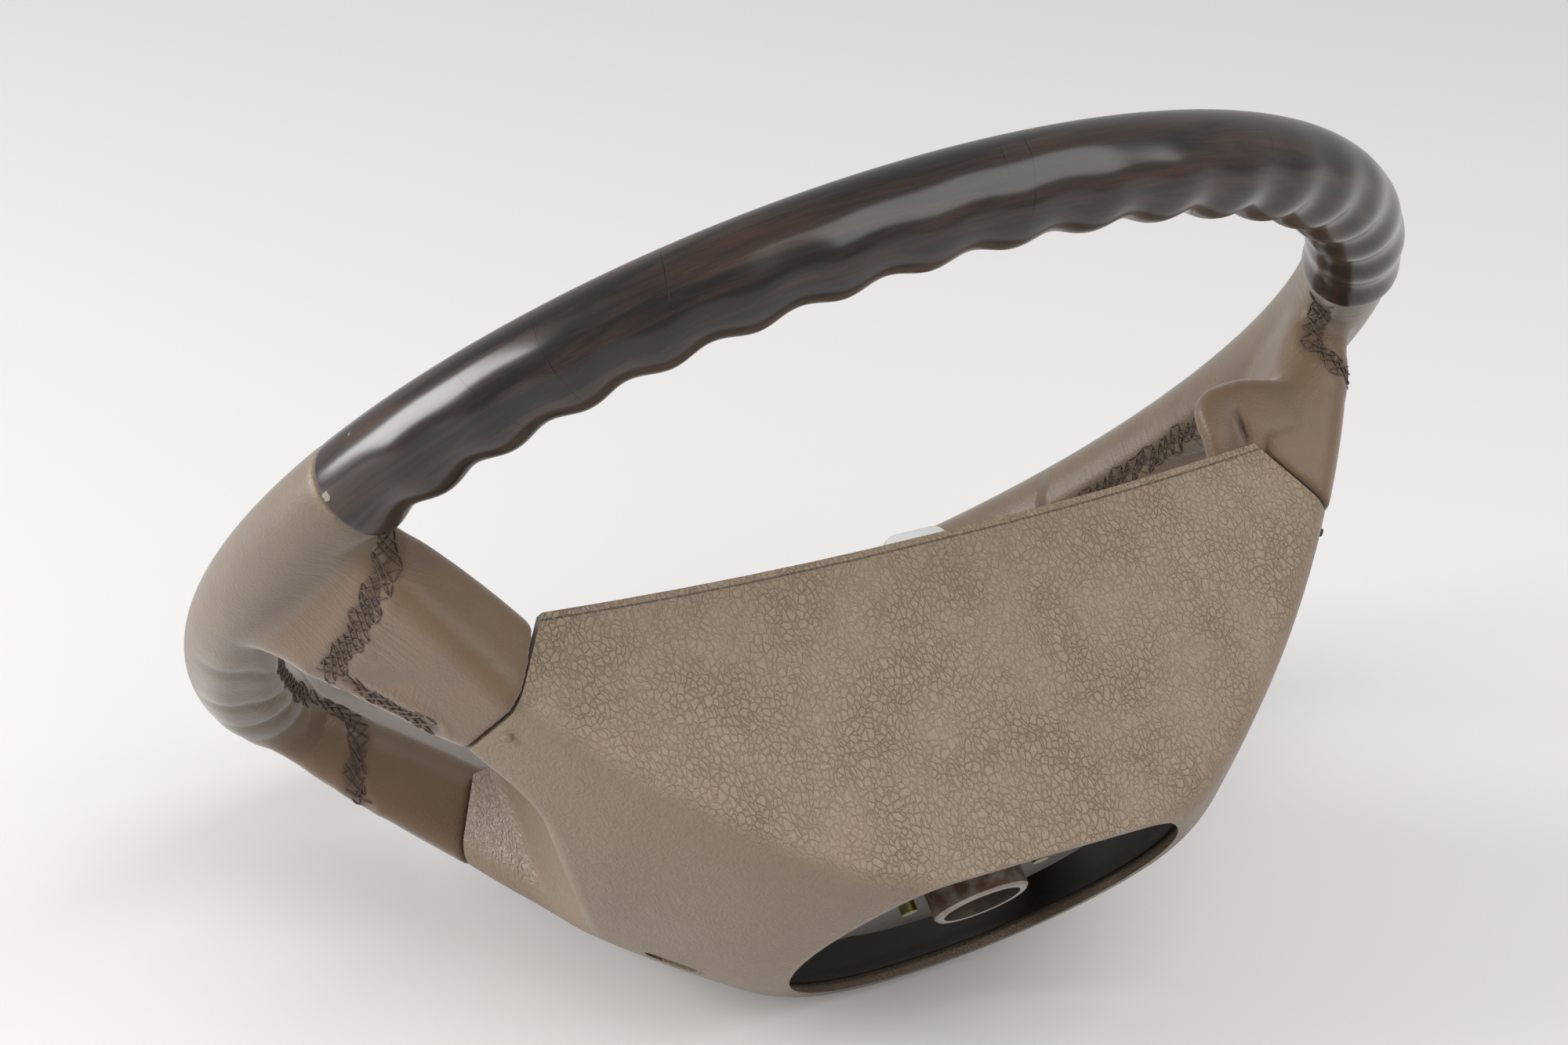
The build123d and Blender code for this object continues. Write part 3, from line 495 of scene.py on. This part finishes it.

# What the finish has to know of each point: how near it is to a join, the slit or the wood, and how much of
# the rim's wear and painted sheen it takes.
join_dark_width, wear_and_sheen_share, end_width = 0.45, 0.85, 0.002
pull_at, pull_width, pull_from, pull_rise = 0.8, 1.8, 0.35, 4
from_ends = np.minimum(np.abs(clock_angle - wood_last), np.abs(clock_angle - wood_first))
from_wood = np.radians(from_ends) * rim_radius
pulled = np.exp(-((from_join - pull_at) / pull_width) ** 2)
pulled *= np.clip((from_join - pull_from) * pull_rise, 0, 1)
marks = {"sewn": np.exp(-(from_join / join_dark_width) ** 2), "pulled": pulled, "join_run": join_run, "slit": slit,
         "worn": wear_and_sheen_share * on_rim, "end_edge": np.exp(-(from_wood / end_width) ** 2) * on_rim}
for name, value in marks.items():
    attribute = leather_skin.data.attributes.new(name, "FLOAT", "POINT")
    attribute.data.foreach_set("value", value.astype(np.float32))

# Smooth hide: grain of 0.9 mm, finer pores, a darker join, painted shade in the slit, a pale rubbed edge at
# the wood, and pull lines.
wrapped_leather = blank_finish("smooth_dyed_leather")
place = add(wrapped_leather, "ShaderNodeTexCoord")
known = {name: (add(wrapped_leather, "ShaderNodeAttribute", attribute_name=name), "Fac") for name in marks}
shade = add(wrapped_leather, "ShaderNodeTexNoise",
            {"Vector": (place, "Object"), "Scale": 1 / 0.03, "Detail": 5.0})
grain = add(wrapped_leather, "ShaderNodeTexVoronoi", {"Vector": (place, "Object"), "Scale": 1 / 0.0009})
fine = add(wrapped_leather, "ShaderNodeTexNoise",
           {"Vector": (place, "Object"), "Scale": 1 / 0.0005, "Detail": 2.0})
# Pull lines stand square to the nearest join, about 1.2 mm apart, and fan out a little.
run_scaled = add(wrapped_leather, "ShaderNodeMath", {0: known["join_run"], 1: 1 / 0.0012},
                 operation="MULTIPLY")
spread_out = add(wrapped_leather, "ShaderNodeVectorMath", {0: (place, "Object"), 1: (60.0, 60.0, 60.0)},
                 operation="MULTIPLY")
pull_lines = add(wrapped_leather, "ShaderNodeTexNoise",
                 {"Vector": (spread_out, 0), "W": (run_scaled, 0), "Scale": 1.0, "Detail": 1.0},
                 noise_dimensions="4D")
dyed = add(wrapped_leather, "ShaderNodeMix", {0: (shade, 0), 6: linear("#5c4833"), 7: linear("#6a553e")},
           data_type="RGBA")
# The rim is greyer than the pads: partly wear from hands, partly painted sheen.
hide = add(wrapped_leather, "ShaderNodeMix", {0: known["worn"], 6: (dyed, 2), 7: linear("#695b4a")},
           data_type="RGBA")
# Handling has left darker clouds of about 12 mm that break up into specks.
smudge = add(wrapped_leather, "ShaderNodeTexNoise",
             {"Vector": (place, "Object"), "Scale": 1 / 0.012, "Detail": 8.0, "Roughness": 0.65})
smudge_share = add(wrapped_leather, "ShaderNodeMapRange", {0: (smudge, 0), 1: 0.48, 2: 0.75, 4: 0.5})
handled = add(wrapped_leather, "ShaderNodeMix", {0: (smudge_share, 0), 6: (hide, 2), 7: linear("#59483a")},
              data_type="RGBA")
# Painted shade fills the slit at full strength; the join is darker at a fifth of that.
dark_join_and_slit_shade = add(wrapped_leather, "ShaderNodeMath", {0: known["sewn"], 1: 0.2, 2: known["slit"]},
                  operation="MULTIPLY_ADD", use_clamp=True)
join_and_slit_shaded = add(wrapped_leather, "ShaderNodeMix", {0: (dark_join_and_slit_shade, 0), 6: (handled, 2), 7: linear("#30251f")},
            data_type="RGBA")
edge_noise = add(wrapped_leather, "ShaderNodeMath", {0: (fine, 0), 1: known["end_edge"]},
                 operation="MULTIPLY")
colour = add(wrapped_leather, "ShaderNodeMix", {0: (edge_noise, 0), 6: (join_and_slit_shaded, 2), 7: linear("#b3a489")},
             data_type="RGBA")
pull_height = add(wrapped_leather, "ShaderNodeMath", {0: (pull_lines, 0), 1: known["pulled"]},
                  operation="MULTIPLY")
grain_height = add(wrapped_leather, "ShaderNodeMath", {0: (grain, 0), 1: 0.25, 2: (pull_height, 0)},
                   operation="MULTIPLY_ADD")
height = add(wrapped_leather, "ShaderNodeMath", {0: (fine, 0), 1: 0.2, 2: (grain_height, 0)},
             operation="MULTIPLY_ADD")
relief = add(wrapped_leather, "ShaderNodeBump", {"Height": (height, 0), "Strength": 0.5, "Distance": 0.0006})
rough = add(wrapped_leather, "ShaderNodeMapRange", {0: (shade, 0), 3: 0.4, 4: 0.52})
shader = add(wrapped_leather, "ShaderNodeBsdfPrincipled", {
    "Base Color": (colour, 2), "Roughness": (rough, 0), "Specular IOR Level": 0.4, "Sheen Weight": 0.35,
    "Sheen Roughness": 0.5, "Normal": (relief, 0)})
add(wrapped_leather, "ShaderNodeOutputMaterial", {"Surface": (shader, 0)})
leather_skin.data.materials.append(wrapped_leather)
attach(leather_skin, "wheel")
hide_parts(*leather_nodes, *foam_nodes)


# Stitching: dark waxed thread that laces the leather's edges together at every join.
# Each thread crosses on the slant to the second stitch on, so that they make a net; in about half of the
# places a thread runs along the edge too. By hand, so no two stitches are alike.

thread_radius, thread_sides, thread_steps = 0.00027, 6, 9
stitch_pitch = 0.0036
uneven_reach, stray, edge_share = 0.16, 0.0004, 0.5
thread_rise, thread_sink = 0.0006, 0.0004
skin_tree = BVHTree.FromPolygons(points.tolist(), quads.tolist())


def on_skin(places):
    """Nearest place on the leather to each point, and the normal there; the tree takes one at a time."""
    found = [skin_tree.find_nearest(place) for place in places.tolist()]
    return np.array([hit[0] for hit in found]), np.array([hit[1] for hit in found])


def tubes(lines, up, radius, sides):
    """Round tubes: a ring of points about each line's points, square to its run; both ends are capped."""
    run = np.gradient(lines, axis=1)
    run /= np.linalg.norm(run, axis=2, keepdims=True)
    across = np.cross(run, up)
    across /= np.maximum(np.linalg.norm(across, axis=2, keepdims=True), 1e-9)
    over = np.cross(across, run)
    angle = np.linspace(0, 2 * math.pi, sides, endpoint=False)[:, None]
    around = np.cos(angle) * across[:, :, None] + np.sin(angle) * over[:, :, None]
    ring = lines[:, :, None] + radius * around
    count, steps = lines.shape[:2]
    index = np.arange(count * steps * sides).reshape(count, steps, sides)
    beside = np.roll(index, -1, axis=2)
    walls = np.stack([index[:, :-1], beside[:, :-1], beside[:, 1:], index[:, 1:]], -1).reshape(-1, 4)
    caps = [index[:, 0, ::-1], index[:, -1]]
    return ring.reshape(-1, 3), walls.tolist() + np.concatenate(caps).tolist()


rng = np.random.default_rng(7)
threads, thread_up = [], []
share = np.linspace(0, 1, thread_steps)[None, :, None]
for line, width in joins:
    middle, up = on_skin(smooth_line(line, stitch_pitch))
    run = np.gradient(middle, axis=0)
    aside = np.cross(up, run)
    aside /= np.linalg.norm(aside, axis=1, keepdims=True)
    reach = width / 2 * (1 + uneven_reach * rng.standard_normal((2, len(middle), 1)))
    jitter = stray * rng.standard_normal((2, len(middle), 3))
    left, right = middle + aside * reach[0] + jitter[0], middle - aside * reach[1] + jitter[1]
    kept_left, kept_right = rng.random((2, len(middle) - 1)) < edge_share
    # Start, end and extra height of each set of threads: those that cross on top stand higher.
    for start, end, raised in ((left[:-2], right[2:], 0.0002), (right[:-2], left[2:], 0.0007),
                               (left[:-1][kept_left], left[1:][kept_left], 0.0001),
                               (right[:-1][kept_right], right[1:][kept_right], 0.0001)):
        laid = start[:, None] * (1 - share) + end[:, None] * share
        seat, tilt = on_skin(laid.reshape(-1, 3))
        seat, tilt = seat.reshape(laid.shape), tilt.reshape(laid.shape)
        lift = (raised + thread_rise) * np.sin(math.pi * share) ** 0.5 - thread_sink
        threads.append(seat + tilt * lift)
        thread_up.append(tilt)
threads, thread_up = np.concatenate(threads), np.concatenate(thread_up)
stitching = new_piece("stitching", *tubes(threads, thread_up, thread_radius, thread_sides))


def two_tone(name, pattern, tones, surface, spread=(0.0, 1.0), bump=None):
    """A finish of two tones, blended by one noise between the limits of spread.

    The pattern is that noise's settings and surface the rest of the shader's. The noise can also be the
    relief: bump is the strength and the distance of that.
    """
    material = blank_finish(name)
    place = add(material, "ShaderNodeTexCoord")
    patches = add(material, "ShaderNodeTexNoise", {"Vector": (place, "Object"), **pattern})
    patch_share = add(material, "ShaderNodeMapRange", {0: (patches, 0), 1: spread[0], 2: spread[1]})
    tone = add(material, "ShaderNodeMix", {0: (patch_share, 0), 6: linear(tones[0]), 7: linear(tones[1])},
               data_type="RGBA")
    shader = add(material, "ShaderNodeBsdfPrincipled", {"Base Color": (tone, 2), **surface})
    if bump:
        relief = add(material, "ShaderNodeBump",
                     {"Height": (patches, 0), "Strength": bump[0], "Distance": bump[1]})
        material.node_tree.links.new(relief.outputs[0], shader.inputs["Normal"])
    add(material, "ShaderNodeOutputMaterial", {"Surface": (shader, 0)})
    return material


# Waxed thread: matt brown with twisted strands; their twist is drawn as noise of 0.6 mm.
waxed_thread = two_tone("waxed_thread", {"Scale": 1 / 0.0006, "Detail": 3.0}, ("#2d221d", "#5f4e42"),
                        {"Roughness": 0.6}, bump=(0.5, 0.0002))
stitching.data.materials.append(waxed_thread)
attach(stitching, "wheel")


# Rear cover: a one-piece moulding with a soft grained skin, screwed to the arms from the front.
# The tool gave its broad top a coarse hide grain and its flanks a finer one, with a fine line along its edge.

front_edge_radius, front_edge_centre = 1.5154, -1.6134
edge_line_in, edge_line_half = 0.0022, 0.0003

grained_vinyl = blank_finish("grained_vinyl_skin")
place = add(grained_vinyl, "ShaderNodeTexCoord")
facing = add(grained_vinyl, "ShaderNodeSeparateXYZ", {0: (place, "Normal")})
axes = add(grained_vinyl, "ShaderNodeSeparateXYZ", {0: (place, "Object")})
top_face = add(grained_vinyl, "ShaderNodeMapRange", {0: (facing, "Z"), 1: 0.55, 2: 0.9})
# Hide creases 1.8 mm apart, 2.7 mm along the column, bent by a slow drift of 9 mm; they come and go in
# patches of 25 mm on the top. Pebbles of 0.8 by 2 by 1 mm cover all of it.
drift = add(grained_vinyl, "ShaderNodeTexNoise",
            {"Vector": (place, "Object"), "Scale": 1 / 0.009, "Detail": 4.0})
shift = add(grained_vinyl, "ShaderNodeVectorMath", {0: (drift, "Color"), 1: (0.006, 0.006, 0.006)},
            operation="MULTIPLY")
warped = add(grained_vinyl, "ShaderNodeVectorMath", {0: (place, "Object"), 1: (shift, 0)}, operation="ADD")
crease_place = add(grained_vinyl, "ShaderNodeVectorMath",
                   {0: (warped, 0), 1: (1 / 0.0018, 1 / 0.0027, 1 / 0.0018)}, operation="MULTIPLY")
creases = add(grained_vinyl, "ShaderNodeTexVoronoi", {"Vector": (crease_place, 0), "Scale": 1.0},
              feature="DISTANCE_TO_EDGE")
pebble_place = add(grained_vinyl, "ShaderNodeVectorMath",
                   {0: (warped, 0), 1: (1 / 0.0008, 1 / 0.002, 1 / 0.001)}, operation="MULTIPLY")
pebbles = add(grained_vinyl, "ShaderNodeTexNoise", {"Vector": (pebble_place, 0), "Scale": 1.0, "Detail": 2.0})
crease_height = add(grained_vinyl, "ShaderNodeMapRange", {0: (creases, 0), 1: 0.0, 2: 0.11, 4: 0.8})
pebble_height = add(grained_vinyl, "ShaderNodeMapRange", {0: (pebbles, 0), 1: 0.3, 2: 0.7, 4: 0.6})
patchy = add(grained_vinyl, "ShaderNodeTexNoise",
             {"Vector": (place, "Object"), "Scale": 1 / 0.025, "Detail": 2.0})
patch_share = add(grained_vinyl, "ShaderNodeMapRange", {0: (patchy, 0), 1: 0.38, 2: 0.62, 3: 0.4})
crease_share = add(grained_vinyl, "ShaderNodeMath", {0: (patch_share, 0), 1: (top_face, 0)},
                   operation="MULTIPLY")
grain_height = add(grained_vinyl, "ShaderNodeMath",
                   {0: (crease_height, 0), 1: (crease_share, 0), 2: (pebble_height, 0)},
                   operation="MULTIPLY_ADD")
# The line along the front edge is an arc about a far centre, like the edge itself.
square_x = add(grained_vinyl, "ShaderNodeMath", {0: (axes, "X"), 1: 2.0}, operation="POWER")
from_centre = add(grained_vinyl, "ShaderNodeMath", {0: (axes, "Y"), 1: front_edge_centre},
                  operation="SUBTRACT")
square = add(grained_vinyl, "ShaderNodeMath", {0: (from_centre, 0), 1: (from_centre, 0), 2: (square_x, 0)},
             operation="MULTIPLY_ADD")
arc_reach = add(grained_vinyl, "ShaderNodeMath", {0: (square, 0)}, operation="SQRT")
edge_line = add(grained_vinyl, "ShaderNodeMath",
                {0: (arc_reach, 0), 1: front_edge_radius + edge_line_in, 2: edge_line_half},
                operation="COMPARE")
line_on_top = add(grained_vinyl, "ShaderNodeMath", {0: (edge_line, 0), 1: (top_face, 0)},
                  operation="MULTIPLY")
height = add(grained_vinyl, "ShaderNodeMath", {0: (grain_height, 0), 1: (line_on_top, 0)},
             operation="SUBTRACT")
relief = add(grained_vinyl, "ShaderNodeBump", {"Height": (height, 0), "Strength": 0.9, "Distance": 0.0004})
cloud = add(grained_vinyl, "ShaderNodeTexNoise",
            {"Vector": (place, "Object"), "Scale": 1 / 0.06, "Detail": 4.0})
skin_tone = add(grained_vinyl, "ShaderNodeMix", {0: (cloud, 0), 6: linear("#7f6d59"), 7: linear("#8d7b67")},
                data_type="RGBA")
# Painted shade: the flanks are painted a tenth darker than the broad top.
flank_shade_share = add(grained_vinyl, "ShaderNodeMapRange", {0: (facing, "Z"), 1: 0.97, 2: 0.7})
flank_shaded_tone = add(grained_vinyl, "ShaderNodeMix", {0: (flank_shade_share, 0), 6: (skin_tone, 2), 7: linear("#eff2f4")},
            data_type="RGBA", blend_type="MULTIPLY")
# Creases are darker, deepest at their lines, and so is the fine line along the front edge on the top.
crease_line = add(grained_vinyl, "ShaderNodeMapRange", {0: (creases, 0), 1: 0.0, 2: 0.12, 3: 0.2, 4: 0.0})
crease_and_edge_dark = add(grained_vinyl, "ShaderNodeMath", {0: (crease_line, 0), 1: (crease_share, 0), 2: (line_on_top, 0)},
           operation="MULTIPLY_ADD")
# The last 5 mm of the mouth's lip is darker and browner on its lower side.
near_lip = add(grained_vinyl, "ShaderNodeMapRange", {0: (axes, "Y"), 1: -0.005, 2: 0.0, 4: 0.7})
under_lip = add(grained_vinyl, "ShaderNodeMapRange", {0: (axes, "Z"), 1: -0.03, 2: -0.05})
lip_crease_edge_dark = add(grained_vinyl, "ShaderNodeMath", {0: (near_lip, 0), 1: (under_lip, 0), 2: (crease_and_edge_dark, 0)},
            operation="MULTIPLY_ADD", use_clamp=True)
colour = add(grained_vinyl, "ShaderNodeMix", {0: (lip_crease_edge_dark, 0), 6: (flank_shaded_tone, 2), 7: linear("#5a4b3d")},
             data_type="RGBA")
rough = add(grained_vinyl, "ShaderNodeMapRange", {0: (patchy, 0), 3: 0.32, 4: 0.46})
shader = add(grained_vinyl, "ShaderNodeBsdfPrincipled", {
    "Base Color": (colour, 2), "Roughness": (rough, 0), "Normal": (relief, 0)})
add(grained_vinyl, "ShaderNodeOutputMaterial", {"Surface": (shader, 0)})
dress(grained_vinyl, "rear_cover")


# Liner and clips: black moulded plastic; the liner snaps in behind the mouth and the two pins hold the seams.
# A fine spark texture from the tool gives it a dull grey sheen.

black_abs = blank_finish("moulded_black_plastic")
place = add(black_abs, "ShaderNodeTexCoord")
spark = add(black_abs, "ShaderNodeTexNoise",
            {"Vector": (place, "Object"), "Scale": 1 / 0.0006, "Detail": 2.0})
dust = add(black_abs, "ShaderNodeTexNoise", {"Vector": (place, "Object"), "Scale": 1 / 0.015, "Detail": 6.0})
tone = add(black_abs, "ShaderNodeMix", {0: (dust, 0), 6: linear("#0f0d0d"), 7: linear("#2a2523")},
           data_type="RGBA")
relief = add(black_abs, "ShaderNodeBump", {"Height": (spark, 0), "Strength": 0.3, "Distance": 0.0002})
shader = add(black_abs, "ShaderNodeBsdfPrincipled", {
    "Base Color": (tone, 2), "Roughness": 0.55, "Normal": (relief, 0)})
add(black_abs, "ShaderNodeOutputMaterial", {"Surface": (shader, 0)})
dress(black_abs, "cover_liner")

# The pin on the wheel's right is caked with taupe dust; the other is still black.
pin_plastic = blank_finish("dusty_black_plastic")
place = add(pin_plastic, "ShaderNodeTexCoord")
axes = add(pin_plastic, "ShaderNodeSeparateXYZ", {0: (place, "Object")})
caked = add(pin_plastic, "ShaderNodeMapRange", {0: (axes, "X"), 1: -0.02, 2: 0.02})
crumbs = add(pin_plastic, "ShaderNodeTexNoise",
             {"Vector": (place, "Object"), "Scale": 1 / 0.0008, "Detail": 3.0})
dust_tone = add(pin_plastic, "ShaderNodeMix", {0: (crumbs, 0), 6: linear("#5f5143"), 7: linear("#83735f")},
                data_type="RGBA")
tone = add(pin_plastic, "ShaderNodeMix", {0: (caked, 0), 6: linear("#1d1917"), 7: (dust_tone, 2)},
           data_type="RGBA")
shader = add(pin_plastic, "ShaderNodeBsdfPrincipled", {"Base Color": (tone, 2), "Roughness": 0.6})
add(pin_plastic, "ShaderNodeOutputMaterial", {"Surface": (shader, 0)})
dress(pin_plastic, "cover_clips")


# Horn carrier, plate, bolts and cover screws: pressed and turned steel with bright zinc plate.
# The plate rides on four shoulder bolts; the zinc has a faint crystal flake and dull fingerprints.

bright_zinc = blank_finish("bright_zinc_plate")
place = add(bright_zinc, "ShaderNodeTexCoord")
flake = add(bright_zinc, "ShaderNodeTexVoronoi", {"Vector": (place, "Object"), "Scale": 1 / 0.006})
smear = add(bright_zinc, "ShaderNodeTexNoise",
            {"Vector": (place, "Object"), "Scale": 1 / 0.02, "Detail": 5.0})
tone = add(bright_zinc, "ShaderNodeMix", {0: (smear, 0), 6: linear("#a9aba9"), 7: linear("#d0d1cd")},
           data_type="RGBA")
rough = add(bright_zinc, "ShaderNodeMapRange", {0: (flake, 0), 3: 0.28, 4: 0.45})
shader = add(bright_zinc, "ShaderNodeBsdfPrincipled", {
    "Base Color": (tone, 2), "Metallic": 1.0, "Roughness": (rough, 0)})
add(bright_zinc, "ShaderNodeOutputMaterial", {"Surface": (shader, 0)})
dress(bright_zinc, "carrier_bracket", "horn_plate", "shoulder_bolts", "cover_screws")

# The two carrier screws are yellow-passivated, which turns green and gold across their ends.
yellow_zinc = two_tone("yellow_passivated_zinc", {"Scale": 1 / 0.002, "Detail": 3.0}, ("#7f9a6a", "#c7a456"),
                       {"Metallic": 1.0, "Roughness": 0.3}, spread=(0.35, 0.65))
dress(yellow_zinc, "carrier_screws")

# Bushes and insulators are natural nylon: off-white, a little waxy, with moulding swirls.
natural_nylon = two_tone("natural_nylon", {"Scale": 1 / 0.004, "Distortion": 1.0}, ("#d9d3c2", "#ebe7da"),
                         {"Roughness": 0.42, "Subsurface Weight": 0.1})
dress(natural_nylon, "spring_bushes", "contact_insulators")

# Contacts are plain brass rivets, dulled to brown in patches.
plain_brass = two_tone("plain_brass", {"Scale": 1 / 0.003, "Detail": 4.0}, ("#d1ac5d", "#8f6d35"),
                       {"Metallic": 1.0, "Roughness": 0.35})
dress(plain_brass, "plate_contacts", "horn_contacts")


# Horn springs: four compression springs of drawn wire on the shoulder bolts, under the plate's bushes.
# Coiled with closed ends that lie flat; here they keep their rest length, though the real ones shorten as the
# plate is pressed.

spring_low, spring_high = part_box("horn_springs")
spring_foot, coil_space = spring_high.y, spring_high.y - spring_low.y
spring_across, spring_up = 0.048, 0.016
coil_radius, wire_radius, wire_sides = 0.0054, 0.0006, 8
coil_turns, coil_steps = 6.0, 240
end_share, end_lead = 0.14, 2.1
share = np.linspace(0, 1, coil_steps)
# Depth along the coil: the turn at each end lies almost flat and the middle ones share the travel.
ramp = np.clip((share - end_share) / (1 - 2 * end_share), 0, 1)
end_rise = np.clip(share / end_share, 0, 1) + np.clip((share - 1 + end_share) / end_share, 0, 1)
depth = end_lead * wire_radius * end_rise
depth = depth + ramp * (coil_space - 2 * wire_radius - depth[-1])
swing = 2 * math.pi * coil_turns * share
coils = [np.stack([x * spring_across + coil_radius * np.cos(swing), spring_foot - wire_radius - depth,
                   z * spring_up + coil_radius * np.sin(swing)], 1) for x in (1, -1) for z in (1, -1)]
column = np.array([[[0.0, 1.0, 0.0]]])
spring_coils = new_piece("horn_spring_coils", *tubes(np.array(coils), column, wire_radius, wire_sides))

# Drawn wire: grey and half bright, with fine drawing marks of 1 mm.
spring_wire = two_tone("drawn_spring_wire", {"Scale": 1 / 0.001, "Detail": 4.0}, ("#6f7072", "#9a9b9c"),
                       {"Metallic": 1.0, "Roughness": 0.38})
spring_coils.data.materials.append(spring_wire)
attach(spring_coils, "wheel")
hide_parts("horn_springs")
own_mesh(spring_coils)


# Floor: the white sheet that the wheel lies on, touching the cover's lip and the rim at 6 o'clock.
# Only its upper side shows, so that views from under it see the wheel.

floor_up = np.array([0, -0.6488, 0.7610])
floor_up /= np.linalg.norm(floor_up)
floor_side = np.array([1.0, 0, 0])
floor_on = np.cross(floor_up, floor_side)
floor_clear, floor_half, floor_glow = 0.0003, 4.0, 0.08
floor_touch = np.array([0, -0.1356, -0.1901]) - floor_clear * floor_up
corners = [floor_touch + floor_half * (a * floor_side + b * floor_on)
           for a, b in ((-1, -1), (1, -1), (1, 1), (-1, 1))]
floor = new_piece("floor", corners, [(0, 1, 2, 3)])
floor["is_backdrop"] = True

# Matt paper; a faint even glow, for the camera and reflections alone, keeps it pale with its shadows.
white_sheet = blank_finish("white_sheet")
rays = add(white_sheet, "ShaderNodeLightPath")
camera_or_gloss = add(white_sheet, "ShaderNodeMath", {0: (rays, "Is Camera Ray"), 1: (rays, "Is Glossy Ray")},
                      operation="MAXIMUM")
seen = add(white_sheet, "ShaderNodeMath", {0: (camera_or_gloss, 0), 1: (rays, "Is Transmission Ray")},
           operation="MAXIMUM")
glow_strength = add(white_sheet, "ShaderNodeMath", {0: (seen, 0), 1: floor_glow}, operation="MULTIPLY")
paper = add(white_sheet, "ShaderNodeBsdfDiffuse", {"Color": linear("#d8d5d5")})
glow = add(white_sheet, "ShaderNodeEmission", {"Color": linear("#fbfafa"), "Strength": (glow_strength, 0)})
lit = add(white_sheet, "ShaderNodeAddShader", {0: (paper, 0), 1: (glow, 0)})
under = add(white_sheet, "ShaderNodeNewGeometry")
clear = add(white_sheet, "ShaderNodeBsdfTransparent")
shader = add(white_sheet, "ShaderNodeMixShader", {0: (under, "Backfacing"), 1: (lit, 0), 2: (clear, 0)})
add(white_sheet, "ShaderNodeOutputMaterial", {"Surface": (shader, 0)})
floor.data.materials.append(white_sheet)


# Light and camera: two soft studio boxes in a pale room, low on the left and wide over the right front.
# A 90 mm lens looks down at the wheel from above its 12 o'clock side, as the photograph does.

world = bpy.data.worlds.new("pale_room")
bpy.context.scene.world = world
world.use_nodes = True
world.node_tree.nodes.clear()
room = add(world, "ShaderNodeBackground", {"Color": linear("#f4f4f5"), "Strength": 0.5})
add(world, "ShaderNodeOutputWorld", {"Surface": (room, 0)})


def turned_to(right, up, back, place):
    """World matrix of a lamp or camera: its three axes as columns, and its place."""
    matrix = np.eye(4)
    matrix[:3] = np.stack([right, up, back, place], 1)
    return Matrix(matrix.tolist())


lens_length, view_place = 89.995145, np.array([0.5713052734, 0.1959999311, 0.9789436746])
view_right = np.array([-0.8565739447, 0.3612860158, 0.3684474074])
view_up = np.array([-0.1998252845, -0.8905379567, 0.4086710208])
view_back = np.array([0.4757635262, 0.2764318404, 0.8350056914])
wheel_middle = np.array([0.0, -0.07, 0.0])
floor_back = view_back - (view_back @ floor_up) * floor_up
floor_back /= np.linalg.norm(floor_back)
floor_right = np.cross(floor_up, floor_back)
lamp_distance = 1.7
# Each box: degrees to the camera's right, degrees above the floor, width, height and watts.
for name, turn, rise, wide, high, watts in (("left_box", -80.0, 21.0, 1.0, 0.9, 30.0),
                                            ("right_box", 52.0, 49.0, 2.0, 1.5, 25.0)):
    turn, rise = math.radians(turn), math.radians(rise)
    level = math.sin(turn) * floor_right + math.cos(turn) * floor_back
    lamp_back = math.cos(rise) * level + math.sin(rise) * floor_up
    lamp_side = np.cross(floor_up, lamp_back) / math.cos(rise)
    lamp_data = bpy.data.lights.new(name, "AREA")
    lamp_data.shape = "RECTANGLE"
    lamp_data.size, lamp_data.size_y = wide, high
    lamp_data.energy = watts
    lamp = bpy.data.objects.new(name, lamp_data)
    lamp_place = wheel_middle + lamp_distance * lamp_back
    lamp.matrix_world = turned_to(lamp_side, np.cross(lamp_back, lamp_side), lamp_back, lamp_place)
    bpy.context.scene.collection.objects.link(lamp)

camera_data = bpy.data.cameras.new("camera")
camera_data.sensor_width = 36.0
camera_data.lens = lens_length
camera_data.clip_start = 0.05
camera = bpy.data.objects.new("camera", camera_data)
camera.matrix_world = turned_to(view_right, view_up, view_back, view_place)
bpy.context.scene.collection.objects.link(camera)
bpy.context.scene.camera = camera
bpy.context.scene.view_settings.view_transform = "Standard"

low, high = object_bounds()
